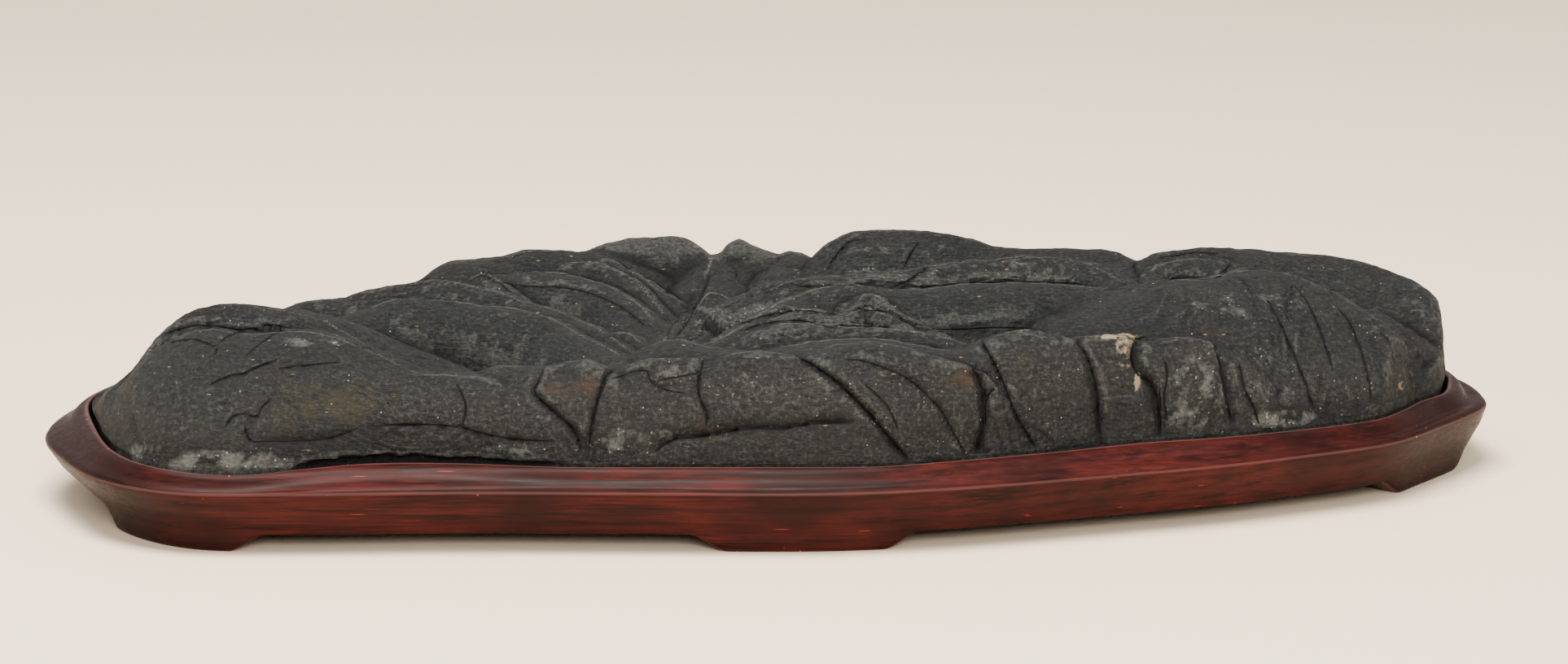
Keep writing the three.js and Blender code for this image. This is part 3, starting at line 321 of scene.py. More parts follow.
# Narrow cracks and creases: picture line, then depth, half width and lift of the lower face in millimetres
CRACKS = [
    ([(255, 475), (280, 463), (300, 458), (320, 450), (345, 440)], 0.5, 0.8, 0.5),
    ([(340, 455), (365, 450), (390, 447), (420, 445)], 0.4, 0.8, 0.4),
    ([(275, 527), (285, 512), (300, 508), (315, 512), (322, 500), (335, 488)], 0.7, 0.8, 0.0),
    ([(300, 515), (303, 535), (312, 543), (330, 543), (400, 540), (445, 525)], 0.6, 0.9, -0.5),
    ([(450, 525), (500, 522), (560, 525), (600, 535), (640, 541), (690, 543)], 0.7, 1.0, 0.3),
    ([(800, 560), (815, 548), (830, 540), (845, 538), (860, 537), (880, 534), (900, 530), (930, 527),
      (960, 528), (980, 524), (1010, 520), (1060, 520)], 1.0, 1.2, -1.2),
    ([(1392, 322), (1396, 336), (1400, 350)], 0.8, 1.2, 0.0),
    ([(874, 332), (864, 356), (850, 382), (838, 402), (828, 416)], 1.6, 1.6, 0.4),
    ([(800, 470), (840, 462), (862, 458)], 0.3, 0.7, 0.2),
    ([(1060, 470), (1090, 500), (1104, 530)], 0.3, 0.7, 0.2),
    ([(560, 470), (572, 500), (566, 530)], 0.3, 0.7, 0.2),
    ([(1555, 362), (1562, 376), (1575, 400), (1588, 430), (1600, 460), (1610, 490), (1620, 515)],
     0.8, 0.9, 0.4),
    ([(1590, 350), (1606, 372), (1620, 400), (1630, 430), (1638, 460)], 0.5, 0.9, 0.3),
    ([(1640, 375), (1660, 400), (1672, 430), (1680, 460), (1684, 500)], 0.4, 0.9, 0.3),
    ([(668, 452), (660, 470), (656, 482), (668, 495), (690, 514), (706, 530), (717, 560)], 1.2, 1.0, 0.5),
    ([(757, 452), (745, 462), (738, 480), (732, 500), (726, 530), (722, 560)], 1.0, 1.0, 0.3),
    ([(865, 442), (858, 470), (860, 490), (868, 510), (866, 528)], 0.8, 1.0, 0.0),
    ([(975, 436), (990, 443), (1010, 456), (1030, 470), (1050, 490), (1070, 510), (1090, 535),
      (1110, 558), (1116, 570)], 1.4, 1.0, 0.6),
    ([(1030, 441), (1060, 444), (1100, 458), (1125, 472), (1140, 487), (1157, 505), (1170, 530),
      (1188, 560)], 0.8, 0.8, 0.4),
    ([(1196, 450), (1204, 470), (1209, 490), (1210, 515), (1206, 535), (1200, 560)], 2.0, 1.3, 0.0),
    ([(1205, 418), (1218, 440), (1232, 470), (1244, 500), (1254, 520), (1274, 555)], 1.2, 0.9, 0.5),
    ([(1222, 478), (1214, 486), (1210, 497)], 0.5, 0.8, 0.0),
    ([(1322, 412), (1332, 430), (1340, 450), (1347, 480), (1350, 510), (1353, 545)], 2.0, 1.2, 0.0),
    ([(1398, 412), (1394, 440), (1400, 458), (1412, 470), (1421, 490), (1425, 515), (1424, 545)],
     2.0, 1.2, 0.0),
    ([(1492, 420), (1500, 440), (1505, 465), (1510, 495), (1516, 525)], 1.6, 1.2, 0.0),
    ([(1430, 440), (1434, 460), (1430, 490), (1434, 520)], 0.4, 1.0, 0.0),
    ([(1522, 445), (1530, 480), (1540, 500), (1548, 525)], 0.8, 1.0, 0.3),
    ([(748, 468), (790, 455), (800, 470), (820, 480), (845, 484)], 0.3, 0.8, 0.2),
    ([(1040, 376), (1062, 381), (1090, 384), (1120, 396), (1150, 404)], 0.6, 0.9, 0.5),
    ([(905, 398), (950, 386), (985, 382), (1010, 384), (1050, 388)], 0.7, 0.9, 0.6),
    ([(890, 414), (930, 400), (975, 394), (1020, 400), (1075, 402), (1110, 404)], 0.6, 0.9, 0.5),
    ([(1100, 384), (1118, 398), (1140, 404), (1180, 405), (1230, 403), (1300, 407)], 1.0, 1.1, 0.3),
    ([(950, 349), (1000, 352), (1060, 350), (1110, 353), (1150, 352), (1200, 347), (1300, 348),
      (1370, 352)], 0.8, 1.0, 0.7),
    ([(1060, 344), (1110, 348), (1125, 338), (1140, 327)], 0.5, 0.9, 0.4),
    ([(1015, 334), (1030, 310), (1045, 297), (1070, 292)], 0.7, 1.0, 0.4),
    ([(1110, 330), (1120, 310), (1130, 297)], 0.5, 1.0, 0.3),
    ([(1400, 346), (1440, 342), (1480, 340), (1502, 334), (1515, 318), (1530, 312)], 0.9, 1.1, 0.5),
    ([(1420, 318), (1460, 311), (1500, 312)], 0.5, 0.9, 0.4),
    ([(190, 415), (230, 402), (262, 401), (295, 406), (330, 400), (360, 404)], 0.8, 1.0, 0.6),
    ([(265, 428), (290, 408), (330, 407), (360, 408)], 0.5, 0.9, 0.4),
    ([(205, 420), (240, 418), (265, 428), (262, 440)], 0.4, 0.9, 0.4),
    ([(300, 440), (330, 415), (350, 408)], 0.4, 0.9, 0.4),
    ([(600, 345), (640, 352), (700, 355), (740, 366), (775, 386), (800, 408)], 0.5, 0.9, 0.4),
    ([(755, 318), (790, 338), (820, 356), (842, 372)], 0.6, 1.0, 0.4),
    ([(575, 346), (592, 338), (610, 346), (630, 362)], 0.5, 1.0, 0.4),
]

# Marks on the front, each an ellipse in the photograph: its middle, half width, half height and strength
MARKS = {
    "frost": [
        (165, 556, 40, 20, 0.8), (260, 568, 110, 16, 1.0), (350, 566, 40, 14, 0.9),
        (650, 552, 60, 10, 0.8), (760, 545, 40, 22, 0.9), (815, 545, 50, 22, 0.6),
        (1165, 548, 45, 12, 0.6), (1300, 535, 45, 14, 0.5), (1470, 510, 45, 26, 1.0),
        (1475, 465, 45, 40, 0.8), (1575, 515, 60, 12, 1.0), (1560, 470, 50, 60, 0.5),
        (1640, 490, 60, 30, 0.4), (385, 420, 45, 9, 0.8), (830, 455, 40, 14, 0.6),
        (1530, 375, 90, 24, 0.6), (930, 480, 90, 40, 0.45), (1110, 505, 90, 50, 0.4),
        (1290, 470, 40, 50, 0.35), (640, 500, 60, 30, 0.35), (950, 372, 70, 26, 0.5),
        (870, 395, 40, 34, 0.7), (1100, 335, 150, 10, 0.5), (1260, 322, 90, 8, 0.5),
    ],
    "olive": [
        (395, 500, 80, 34, 1.0), (340, 540, 70, 8, 0.7), (460, 470, 60, 30, 0.5),
        (900, 540, 60, 12, 0.6), (1180, 470, 30, 20, 0.5), (560, 410, 80, 24, 0.4),
    ],
    "brown": [
        (700, 474, 46, 26, 1.0), (1180, 466, 30, 20, 0.7), (1490, 400, 60, 30, 0.5),
        (300, 455, 90, 30, 0.4), (870, 520, 60, 18, 0.5), (1460, 430, 40, 14, 0.6),
    ],
    "shade": [
        (530, 444, 40, 13, 1.0), (490, 425, 40, 8, 0.8), (771, 424, 22, 12, 0.9),
        (846, 384, 12, 34, 0.9), (700, 388, 50, 8, 0.5), (1211, 553, 7, 9, 1.0), (715, 560, 10, 7, 1.0),
        (1727, 486, 12, 6, 0.9), (440, 400, 30, 8, 0.6), (1395, 335, 5, 16, 0.7),
        (985, 330, 6, 14, 0.7), (655, 402, 60, 8, 0.4), (1745, 415, 30, 60, 0.6),
        (1250, 376, 150, 22, 0.4), (575, 424, 80, 22, 0.7), (803, 312, 45, 14, 0.5),
        (920, 318, 25, 12, 0.45),
    ],
    "calcite": [
        (1383, 430, 15, 22, 1.4), (1370, 413, 34, 4, 1.2), (1397, 466, 5, 26, 1.0),
        (1418, 520, 4, 26, 0.5), (1724, 474, 10, 9, 0.8), (133, 544, 6, 10, 0.7),
        (368, 553, 26, 4, 0.6), (690, 556, 18, 5, 0.5), (840, 537, 30, 2.5, 0.5),
        (1000, 521, 40, 2.5, 0.4), (340, 543, 14, 2, 0.5),
    ],
}

# How a mark fades across its ellipse, how it breaks up (share, lump size and seed), the least that stays of
# it where it is broken, and how it fades where the surface turns away
MARK_FADE = (0.2, 1.5)
MARK_NOISE = [(1.0, 7, 21), (0.6, 2.5, 22)]
MARK_BREAK = (-0.5, 0.5)
MARK_LEAST = 0.15
MARK_FACING = (0.0, 0.25)

# Cracks: a distance that stands for none, the longest step that still follows the surface, how far around a
# crack vertices are moved, the share of its length over which each end fades, and how its cut, its lift and
# its dark line fall off with the distance
FAR = 99.0
CRACK_JUMP = 12
CRACK_REACH = 6
CRACK_FADE = 0.12
CUT_POWER = 1.3
LIFT_WIDTH = 3.5
DARK_WIDTH = 3

# The gap above the lip, and the overhang at the left front between two places in the photograph
TUCK = 1.0
TUCK_RISE = 0.3
TUCK_JAG = 0.2
TUCK_EDGE = (-0.8, 0.5)
OVERHANG = (396, 700)
OVERHANG_START = (-45, 8)
OVERHANG_FADE = 0.5
OVERHANG_DEPTH = 4.5
OVERHANG_RISE = 1.7
OVERHANG_JAG = 0.7
JAG_NOISE = [(1.0, 11, 12), (0.6, 4.3, 13)]

# Large odd numbers that stir the noise's random draws, and what brings the noise to between -1 and 1
CORNER_STIRS = np.array([73856093, 19349663, 83492791])
SEED_STIR = 15485863
TURN_STIRS = (1274126177, 668265263)
NOISE_GAIN = 1.6

# Lumps of the weathered surface: height, size and seed
LUMPS = [(0.45, 26, 1), (0.38, 9, 2), (0.26, 3.6, 5)]

# How strongly each crest is wrinkled along its length, and how strongly its wall is scored downwards
WRINKLED = {
    "band": 1.0, "shoulder": 1.0, "knot a": 1.0, "knot b": 1.0, "sweep": 0.8, "dome sky": 1.0, "dome": 0.6,
    "tongue": 1.0, "big peak": 0.7, "right back": 0.8, "right mid": 0.8, "right lobe": 0.6, "fold 2": 0.7,
    "fold 3b": 0.7, "fold 3 sky": 0.6, "back peak": 0.5, "broad face": 0.5, "fold 1": 0.4,
}
WRINKLED_ELSEWHERE = 0.25
SCORED = {
    "right lobe": 1.0, "right lobe end": 1.0, "plate f": 0.8, "right end": 0.9, "right fill": 0.9,
    "plate e": 0.3, "right back": 0.3,
}
SCORED_ELSEWHERE = 0.08
SCORED_FROM = (4, 12)

# Wrinkles sway and come in patches (size and seed of the noise), and thin out away from the patches and from
# the crest, down to the least that stays
SWAY_NOISE = (9, 6)
PATCH_NOISE = (22, 4)
PATCH_EDGE = (-0.5, 0.5)
PATCH_LEAST = 0.3
CREST_WIDTH = 9
CREST_LEAST = 0.25

# Ledges run along a crest, one for every step down from it: the sway in steps, the height and its middle
LEDGE_STEP = 3.1
LEDGE_SWAY = 1.3
LEDGE_NOISE = (0.35, 3.5, 8)
LEDGE_POWER = 6
LEDGE_HEIGHT = 0.75
LEDGE_MIDDLE = 0.4

# Creases run along a crest and scores down a wall. Both are noise that is drawn out one way, with its own
# place in the noise for each crest: the length, the step across, how far apart two crests are in the noise,
# the seed, the height, and the level from which the noise is cut in
CREASE_LENGTH = 8
CREASE_STEP = 1.9
CREASE_APART = 7.3
CREASE_SEED = 3
CREASE_HEIGHT = 0.6
CREASE_LEVEL = 0.3
SCORE_LENGTH = 26
SCORE_STEP = 2.3
SCORE_SWAY = 0.6
SCORE_APART = 5.1
SCORE_SEED = 9
SCORE_HEIGHT = 0.8
SCORE_LEVEL = 0.25

# The finest wrinkles are left to the material: the step from one to the next, and their sway
FINE_STEP = 2.3
FINE_SWAY = 0.9

# What the material is told of the relief: how far a vertex stands out of its neighbours' mean or in from it,
# how far it is under the ground around it, and how far it is from a crest's line and from its ends. Where a
# vertex lies in from the mean or under the ground around it the material paints shade, and along a crest's
# line it paints a highlight
SMOOTHINGS = 4
WORN_BY = (0.07, 0.32)
PAINTED_CREASE_SHADE_BY = (0.03, 0.40)
PAINTED_VALLEY_SHADE_BY = (-2, 5)
PAINTED_VALLEY_SHADE_FACING = (-0.1, 0.3)
AROUND = 9
CREST_HIGHLIGHT_WIDTH = 0.9
CREST_HIGHLIGHT_ENDS = (1, 14)

# How finely the surfaces are spread: along the front and back, along the ends, and down the sides
ALONG = 440
ACROSS = 104
DOWN = 54
BACK_SKIP = 3
CORNER_SIDES = (ALONG, ACROSS, ALONG, ACROSS)

# How finely lines are drawn between two of their points, how many points a loop gets, and how many of those
# are skipped where only its edge is measured
LOOP_SPAN = 12
CREST_SPAN = 2
CRACK_SPAN = 8
LOOP_POINTS = 2400
EDGE_SKIP = 12

# The inner loop from which the stone's sides are measured, how far out and how finely they are looked for,
# and the rows of the foot under them
CORE_SCALE = (0.88, 0.70)
CORE_HEIGHT = 27
REACH = 75
REACH_STEPS = 60
HALVINGS = 9
SEAT_ROWS = (CORE_HEIGHT - 1.5, RECESS_FLOOR + FLOOR_GAP)
RELIEF_FROM = (SEAT_ROWS[0], CORE_HEIGHT + 3)

# Grooves cut only into the wall that faces the front, above this height and from there over this many more
GROOVE_FACING = 2
GROOVE_LOWEST = 26
GROOVE_RISE = 3

# The square grid that holds the stone's heights in plan, and how far inside its far sides it is read
GRID_STEP = 1.0
GRID_X = np.arange(-250, 251, GRID_STEP)
GRID_Y = np.arange(-120, 121, GRID_STEP)
GRID_MARGIN = 1.01


def smoothstep(value, low, high):
    """A soft step from 0 at low to 1 at high."""
    share = np.clip((value - low) / (high - low), 0, 1)
    return share * share * (3 - 2 * share)


def catmull_rom(points, per_span, closed):
    """A cubic through every point, whose slope at each is half the step between its neighbours."""
    points = np.asarray(points, float)
    count = len(points)
    spans = np.arange(count if closed else count - 1)
    if closed:
        around = points[(spans[:, None] + [-1, 0, 1, 2]) % count]
    else:
        padded = np.vstack([2 * points[0] - points[1], points, 2 * points[-1] - points[-2]])
        around = padded[spans[:, None] + [0, 1, 2, 3]]
    before, start, end, after = around.transpose(1, 0, 2)[:, :, None]
    t = np.linspace(0, 1, per_span, endpoint=False)[None, :, None]
    curve = start + 0.5 * t * (end - before)
    curve = curve + 0.5 * t**2 * (2 * before - 5 * start + 4 * end - after)
    curve = curve + 0.5 * t**3 * (3 * start - before - 3 * end + after)
    curve = curve.reshape(-1, points.shape[1])
    return curve if closed else np.vstack([curve, points[-1]])


def even_loop(points):
    """A closed smooth line through plan points, resampled to equal steps."""
    curve = catmull_rom(points, LOOP_SPAN, True)
    curve = np.vstack([curve, curve[:1]])
    walked = np.concatenate([[0], np.cumsum(np.linalg.norm(np.diff(curve, axis=0), axis=1))])
    places = np.linspace(0, walked[-1], LOOP_POINTS, endpoint=False)
    return np.stack([np.interp(places, walked, curve[:, k]) for k in (0, 1)], -1)


def column_points(loop, corners):
    """Points of the loop for each column of faces, counted from the first corner."""
    starts = [int(np.argmin(np.linalg.norm(loop - corner, axis=1))) for corner in np.array(corners)]
    places = []
    for side, count in enumerate(CORNER_SIDES):
        start, end = starts[side], starts[(side + 1) % len(starts)]
        end += len(loop) if end < start else 0
        places.append(np.linspace(start, end, count, endpoint=False))
    places = np.concatenate(places)
    low = np.floor(places).astype(int)
    share = (places - low)[:, None]
    return loop[low % len(loop)] * (1 - share) + loop[(low + 1) % len(loop)] * share


def outward(loop):
    """The outward direction of a counter-clockwise loop: its neighbours' step, turned a quarter right."""
    step = np.roll(loop, -1, 0) - np.roll(loop, 1, 0)
    normal = np.stack([step[:, 1], -step[:, 0]], -1)
    return normal / np.linalg.norm(normal, axis=1)[:, None]


def sight_line(picture):
    """The direction from the eye through picture points, with a step of 1 along the view's axis."""
    picture = np.asarray(picture, float)
    right = (picture[..., 0] - PICTURE_MIDDLE[0]) / FOCAL_PIXELS
    up = (PICTURE_MIDDLE[1] - picture[..., 1]) / FOCAL_PIXELS
    return np.stack([right, VIEW_COS + up * VIEW_SIN, up * VIEW_COS - VIEW_SIN], -1)


def seen(marks):
    """Places seen at picture x and y, at a depth behind the middle."""
    marks = np.asarray(marks, float)
    ray = sight_line(marks[:, :2])
    return EYE + ray * ((marks[:, 2] - EYE[1]) / ray[:, 1])[:, None]


def shown(places):
    """Picture x and y of places."""
    offset = places - EYE
    depth = offset[..., 1] * VIEW_COS - offset[..., 2] * VIEW_SIN
    up = offset[..., 1] * VIEW_SIN + offset[..., 2] * VIEW_COS
    x = PICTURE_MIDDLE[0] + FOCAL_PIXELS * offset[..., 0] / depth
    return np.stack([x, PICTURE_MIDDLE[1] - FOCAL_PIXELS * up / depth], -1)


RECESS_LOOP = even_loop(RECESS)
ARRIS_LOOP = even_loop(ARRIS)
EDGE_LINE = RECESS_LOOP[::EDGE_SKIP]
CREST_LINES = [catmull_rom(seen(made["line"]), CREST_SPAN, False) for made in CRESTS]


def inside_by(x, y):
    """How far plan points are inside the stone's edge: the distance to its nearest step, less the gap."""
    nearest = np.full(x.shape, np.inf)
    side = np.ones(x.shape)
    for a, b in zip(EDGE_LINE, np.roll(EDGE_LINE, -1, 0)):
        dx, dy = b - a
        t = np.clip(((x - a[0]) * dx + (y - a[1]) * dy) / (dx * dx + dy * dy), 0, 1)
        ex = x - a[0] - t * dx
        ey = y - a[1] - t * dy
        gap = ex * ex + ey * ey
        closer = gap < nearest
        nearest = np.where(closer, gap, nearest)
        side = np.where(closer, np.where(ey * dx - ex * dy < 0, -1, 1), side)
    return side * np.sqrt(nearest) - SIDE_GAP


def rim_height(inside):
    """The highest that the stone may be this far inside its edge: a quarter round, then level."""
    short = 1 - np.clip(inside / RIM_RADIUS, 0, 1)
    rise = np.where(inside < 0, RIM_FALL * inside, RIM_RISE * np.sqrt(1 - short * short))
    return WALL_BASE + rise


def crest_height(made, line, x, y, inside):
    """One crest's height at plan points, how far along it they are, and how far to its back.

    Every step of the crest counts by its length over its distance to the eighth power, so the height and
    the side vary smoothly. The fall is a superellipse from the crest to its base.
    """
    nearest = np.full(x.shape, np.inf)
    total, top, side, along = np.zeros((4,) + x.shape)
    walked = 0.0
    for a, b in zip(line[:-1], line[1:]):
        dx, dy, dz = b - a
        length = math.hypot(dx, dy)
        t = np.clip(((x - a[0]) * dx + (y - a[1]) * dy) / length**2, 0, 1)
        ex = x - a[0] - t * dx
        ey = y - a[1] - t * dy
        gap = np.sqrt(ex * ex + ey * ey) + TINY
        weight = length * (gap + PULL_SOFT) ** -PULL_POWER
        nearest = np.minimum(nearest, gap)
        total += weight
        top += weight * (a[2] + t * dz)
        side += weight * (ey * dx - ex * dy) / (length * gap)
        along += weight * (walked + t * length)
        walked += length
    top, side, along = top / total, side / total, along / total
    room = np.minimum(nearest + np.maximum(inside - made["lap"], 0), made["most"])
    to_back = 0.5 + 0.5 * side
    front = room if made["wall"] == "front" else made["front"]
    back = room if made["wall"] == "back" else made["back"]
    width = front + (back - front) * to_back + TINY
    full = made["full_front"] + (made["full_back"] - made["full_front"]) * to_back
    bulge = made["round_front"] + (made["round_back"] - made["round_front"]) * to_back
    share = np.maximum(1 - np.minimum(nearest / width, 1) ** full, 0) ** (1 / bulge)
    height = made["base"] + (top - made["base"]) * share - np.maximum(nearest - width, 0)
    if made["wall"]:
        below = WALL_BASE - LAP_FALL * (made["lap"] - inside)
        height = np.where(inside < made["lap"], np.minimum(height, below), height)
    return np.minimum(height, rim_height(inside)), along, nearest * np.sign(side)


def sky_height(x, y):
    """How high plan points may be: the sight line to the outline in the photograph, at their depth."""
    picture_x = shown(np.stack([x, y, np.full(x.shape, INNER_BASE)], -1))[..., 0]
    sky_x, sky_y = np.array(SKYLINE, float).T
    ray = sight_line(np.stack([picture_x, np.interp(picture_x, sky_x, sky_y)], -1))
    return np.maximum(EYE[2] + ray[..., 2] * (y - EYE[1]) / ray[..., 1], SKYLINE_LOWEST)


def stone_height(x, y):
    """The stone's top at plan points, with the crest that makes it, the way along that crest and across it.

    The crests are joined by a maximum that is rounded over each crest's blend, and held under the outline.
    """
    inside = inside_by(x, y)
    height = np.full(x.shape, NOWHERE)
    which = np.zeros(x.shape, int)
    along, across = np.zeros((2,) + x.shape)
    for index, (made, line) in enumerate(zip(CRESTS, CREST_LINES)):
        reach = WALL_REACH if made["wall"] else max(made["front"], made["back"]) + SPARE_REACH
        near = (x > line[:, 0].min() - reach) & (x < line[:, 0].max() + reach)
        near &= (y > line[:, 1].min() - reach) & (y < line[:, 1].max() + reach)
        if not near.any():
            continue
        mine, way, aside = crest_height(made, line, x[near], y[near], inside[near])
        old = height[near]
        mix = np.maximum(made["blend"] - np.abs(old - mine), 0) / made["blend"]
        height[near] = np.maximum(old, mine) + mix * mix * made["blend"] / 4
        won = mine > old
        which[near] = np.where(won, index, which[near])
        along[near] = np.where(won, way, along[near])
        across[near] = np.where(won, aside, across[near])
    sky = sky_height(x, y)
    mix = np.maximum(SKYLINE_BLEND - np.abs(height - sky), 0) / SKYLINE_BLEND
    height = np.minimum(height, sky) - mix * mix * SKYLINE_BLEND / 4
    return height, which, along, across


def coons_patch(loop):
    """A grid inside the loop: opposite edges blended, less the blend of the four corners."""
    front = loop[:ALONG + 1]
    right = loop[ALONG:ALONG + ACROSS + 1]
    back = loop[ALONG + ACROSS:2 * ALONG + ACROSS + 1][::-1]
    left = np.vstack([loop[2 * ALONG + ACROSS:], loop[:1]])[::-1]
    u = np.linspace(0, 1, ALONG + 1)[None, :, None]
    v = np.linspace(0, 1, ACROSS + 1)[:, None, None]
    grid = (1 - v) * front[None] + v * back[None] + (1 - u) * left[:, None] + u * right[:, None]
    corners = (1 - u) * (1 - v) * front[0] + u * (1 - v) * front[-1]
    return grid - corners - (1 - u) * v * back[0] - u * v * back[-1]


def plan_grid():
    """The stone's height on a square grid over its plan."""
    return stone_height(*np.meshgrid(GRID_X, GRID_Y))[0]


def blurred(heights, half_width):
    """A plan grid whose every value is the mean around it, by a bell curve along each axis in turn."""
    steps = np.arange(-3 * half_width, 3 * half_width + 1)
    bell = np.exp(-0.5 * (steps / half_width) ** 2)
    bell /= bell.sum()
    padded = np.pad(heights, 3 * half_width, mode="edge")
    rows = np.apply_along_axis(np.convolve, 1, padded, bell, "valid")
    return np.apply_along_axis(np.convolve, 0, rows, bell, "valid")


def from_grid(heights, px, py):
    """A plan grid's value at plan points, blended between the four corners of each square."""
    fx = np.clip((px - GRID_X[0]) / GRID_STEP, 0, len(GRID_X) - GRID_MARGIN)
    fy = np.clip((py - GRID_Y[0]) / GRID_STEP, 0, len(GRID_Y) - GRID_MARGIN)
    ix, iy = fx.astype(int), fy.astype(int)
    fx, fy = fx - ix, fy - iy
    low = heights[iy, ix] * (1 - fx) + heights[iy, ix + 1] * fx
    return low * (1 - fy) + (heights[iy + 1, ix] * (1 - fx) + heights[iy + 1, ix + 1] * fx) * fy


def stone_sides(start, aim, heights):
    """The stone's sides: from the core, rays fan from straight up to level, and each stops at the last place
    that is inside the stone, found by steps and then by halving."""
    lean = np.linspace(0, 1, DOWN + 1)[1:, None] * np.pi / 2
    way = aim - start
    way = way / np.linalg.norm(way, axis=1)[:, None]

    def place(length):
        """The places this far along the rays."""
        level = np.sin(lean) * length
        x = start[:, 0] + way[:, 0] * level
        y = start[:, 1] + way[:, 1] * level
        return x, y, CORE_HEIGHT + np.cos(lean) * length

    last = np.zeros((DOWN, len(start)))
    step = REACH / REACH_STEPS
    for index in range(1, REACH_STEPS + 1):
        x, y, z = place(step * index)
        last = np.where(z < from_grid(heights, x, y), step * index, last)
    low, high = np.maximum(last - step, 0), last + 2 * step
    for _ in range(HALVINGS):
        middle = (low + high) / 2
        x, y, z = place(middle)
        within = z < stone_height(x, y)[0]
        low, high = np.where(within, middle, low), np.where(within, high, middle)
    return np.stack(place((low + high) / 2), -1)


def groove_depth(places):
    """How far the plate grooves set the front wall back: each falls off with the distance in the picture."""
    picture = shown(places)
    depth = np.zeros(picture.shape[:-1])
    for line, deepest, half_width in PLATE_GROOVES:
        line = np.array(line, float)
        x = np.interp(picture[..., 1], line[:, 1], line[:, 0])
        fade = np.clip((picture[..., 1] - line[0, 1]) / GROOVE_START, 0, 1)
        fade *= np.clip((line[-1, 1] + GROOVE_END - picture[..., 1]) / GROOVE_END, 0, 1)
        depth += deepest * fade * np.exp(-np.abs(picture[..., 0] - x) / half_width)
    return depth


def tuck(places):
    """How far the stone's foot is set back above the lip: a little all round, so that a dark gap parts it
    from the stand, and more under the overhang at the left front, whose lower edge is jagged."""
    picture_x = shown(places)[..., 0]
    start, end = OVERHANG
    over = smoothstep(picture_x - start, *OVERHANG_START) * (places[..., 1] < 0)
    over *= np.clip((end - picture_x) / (end - start), 0, 1) ** OVERHANG_FADE
    flat = np.column_stack([places[..., 0].ravel(), np.zeros((places[..., 0].size, 2))])
    jag = layered_noise(flat, JAG_NOISE).reshape(over.shape)
    top = lip_height(places) + TUCK_RISE + over * (OVERHANG_RISE + OVERHANG_JAG * jag) + TUCK_JAG * jag
    depth = TUCK + over * OVERHANG_DEPTH
    return depth * (1 - smoothstep(places[..., 2] - top, *TUCK_EDGE))


def stone_surface(heights):
    """Every vertex of the stone: the top's patch, the sides' rows with the grooves and the tucked foot, the
    rows of the seat and the underside's middle."""
    edge = column_points(RECESS_LOOP, RECESS_CORNERS)
    normal = outward(edge)
    start = edge * CORE_SCALE
    patch = coons_patch(start)
    patch = np.dstack([patch, stone_height(patch[..., 0], patch[..., 1])[0]])
    sides = stone_sides(start, edge, heights)
    facing = np.clip(-GROOVE_FACING * normal[:, 1], 0, 1)
    facing = facing * np.clip((sides[..., 2] - GROOVE_LOWEST) / GROOVE_RISE, 0, 1)
    sides[..., :2] -= normal * (groove_depth(sides) * facing + tuck(sides))[..., None]
    seat = edge - normal * (SIDE_GAP + TUCK)
    lower = [np.column_stack([seat, np.full(len(edge), z)]) for z in SEAT_ROWS]
    middle = [0, 0, SEAT_ROWS[-1]]
    return np.vstack([patch.reshape(-1, 3), sides.reshape(-1, 3), *lower, middle])


def stone_faces():
    """The stone's faces by vertex number, as groups of four, six and three corners: the top's patch and the
    sides' rows, which are three times as far apart at the back, the six-sided faces where the two spacings
    meet, and the underside's fan."""
    columns = sum(CORNER_SIDES)
    number = np.arange((ACROSS + 1) * (ALONG + 1)).reshape(ACROSS + 1, ALONG + 1)
    rim = np.concatenate([number[0, :-1], number[:-1, -1], number[-1, :0:-1], number[:0:-1, 0]])
    rows = number.size + np.arange((DOWN + len(SEAT_ROWS)) * columns).reshape(-1, columns)
    middle = rows[-1, -1] + 1
    rows = np.vstack([rim, rows])
    rows = np.column_stack([rows, rows[:, 0]])
    first, last = ALONG + ACROSS, 2 * ALONG + ACROSS
    sparse = rows[np.r_[0:DOWN + 1:BACK_SKIP, DOWN + 1:len(rows)]]
    quads = [
        grid_faces(number),
        grid_faces(rows[::-1, :first + 1]),
        grid_faces(rows[::-1, last:]),
        grid_faces(sparse[::-1, first + 1:last]),
        grid_faces(rows[:DOWN - 1:-1, first:first + 2]),
        grid_faces(rows[:DOWN - 1:-1, last - 1:last + 1]),
    ]
    high, low = rows[0:DOWN:BACK_SKIP], rows[BACK_SKIP:DOWN + 1:BACK_SKIP]
    steps = [rows[k:DOWN:BACK_SKIP] for k in range(1, BACK_SKIP)]
    joins = [
        np.stack([low[:, first], low[:, first + 1], high[:, first + 1], high[:, first],
                  steps[0][:, first], steps[1][:, first]], -1),
        np.stack([low[:, last - 1], low[:, last], steps[1][:, last], steps[0][:, last],
                  high[:, last], high[:, last - 1]], -1),
    ]
    under = np.column_stack([rows[-1, 1:], rows[-1, :-1], np.full(columns, middle)])
    return [np.vstack(quads), np.vstack(joins), under]


def without_spares(vertices, groups):
    """The vertices that faces use, and the faces numbered by those."""
    used, places = np.unique(np.concatenate([group.ravel() for group in groups]), return_inverse=True)
    ends = np.cumsum([group.size for group in groups])
    parts = np.split(places.ravel(), ends[:-1])
    return vertices[used], [part.reshape(group.shape) for part, group in zip(parts, groups)]


def grid_faces(number):
    """Four-sided faces between the rows of a grid of vertex numbers."""
    return np.stack([number[:-1, :-1], number[:-1, 1:], number[1:, 1:], number[1:, :-1]], -1).reshape(-1, 4)


def as_triangles(groups):
    """Every face as a fan of triangles from its first corner."""
    return np.vstack([
        group[:, [0, corner, corner + 1]] for group in groups for corner in range(1, group.shape[1] - 1)
    ])


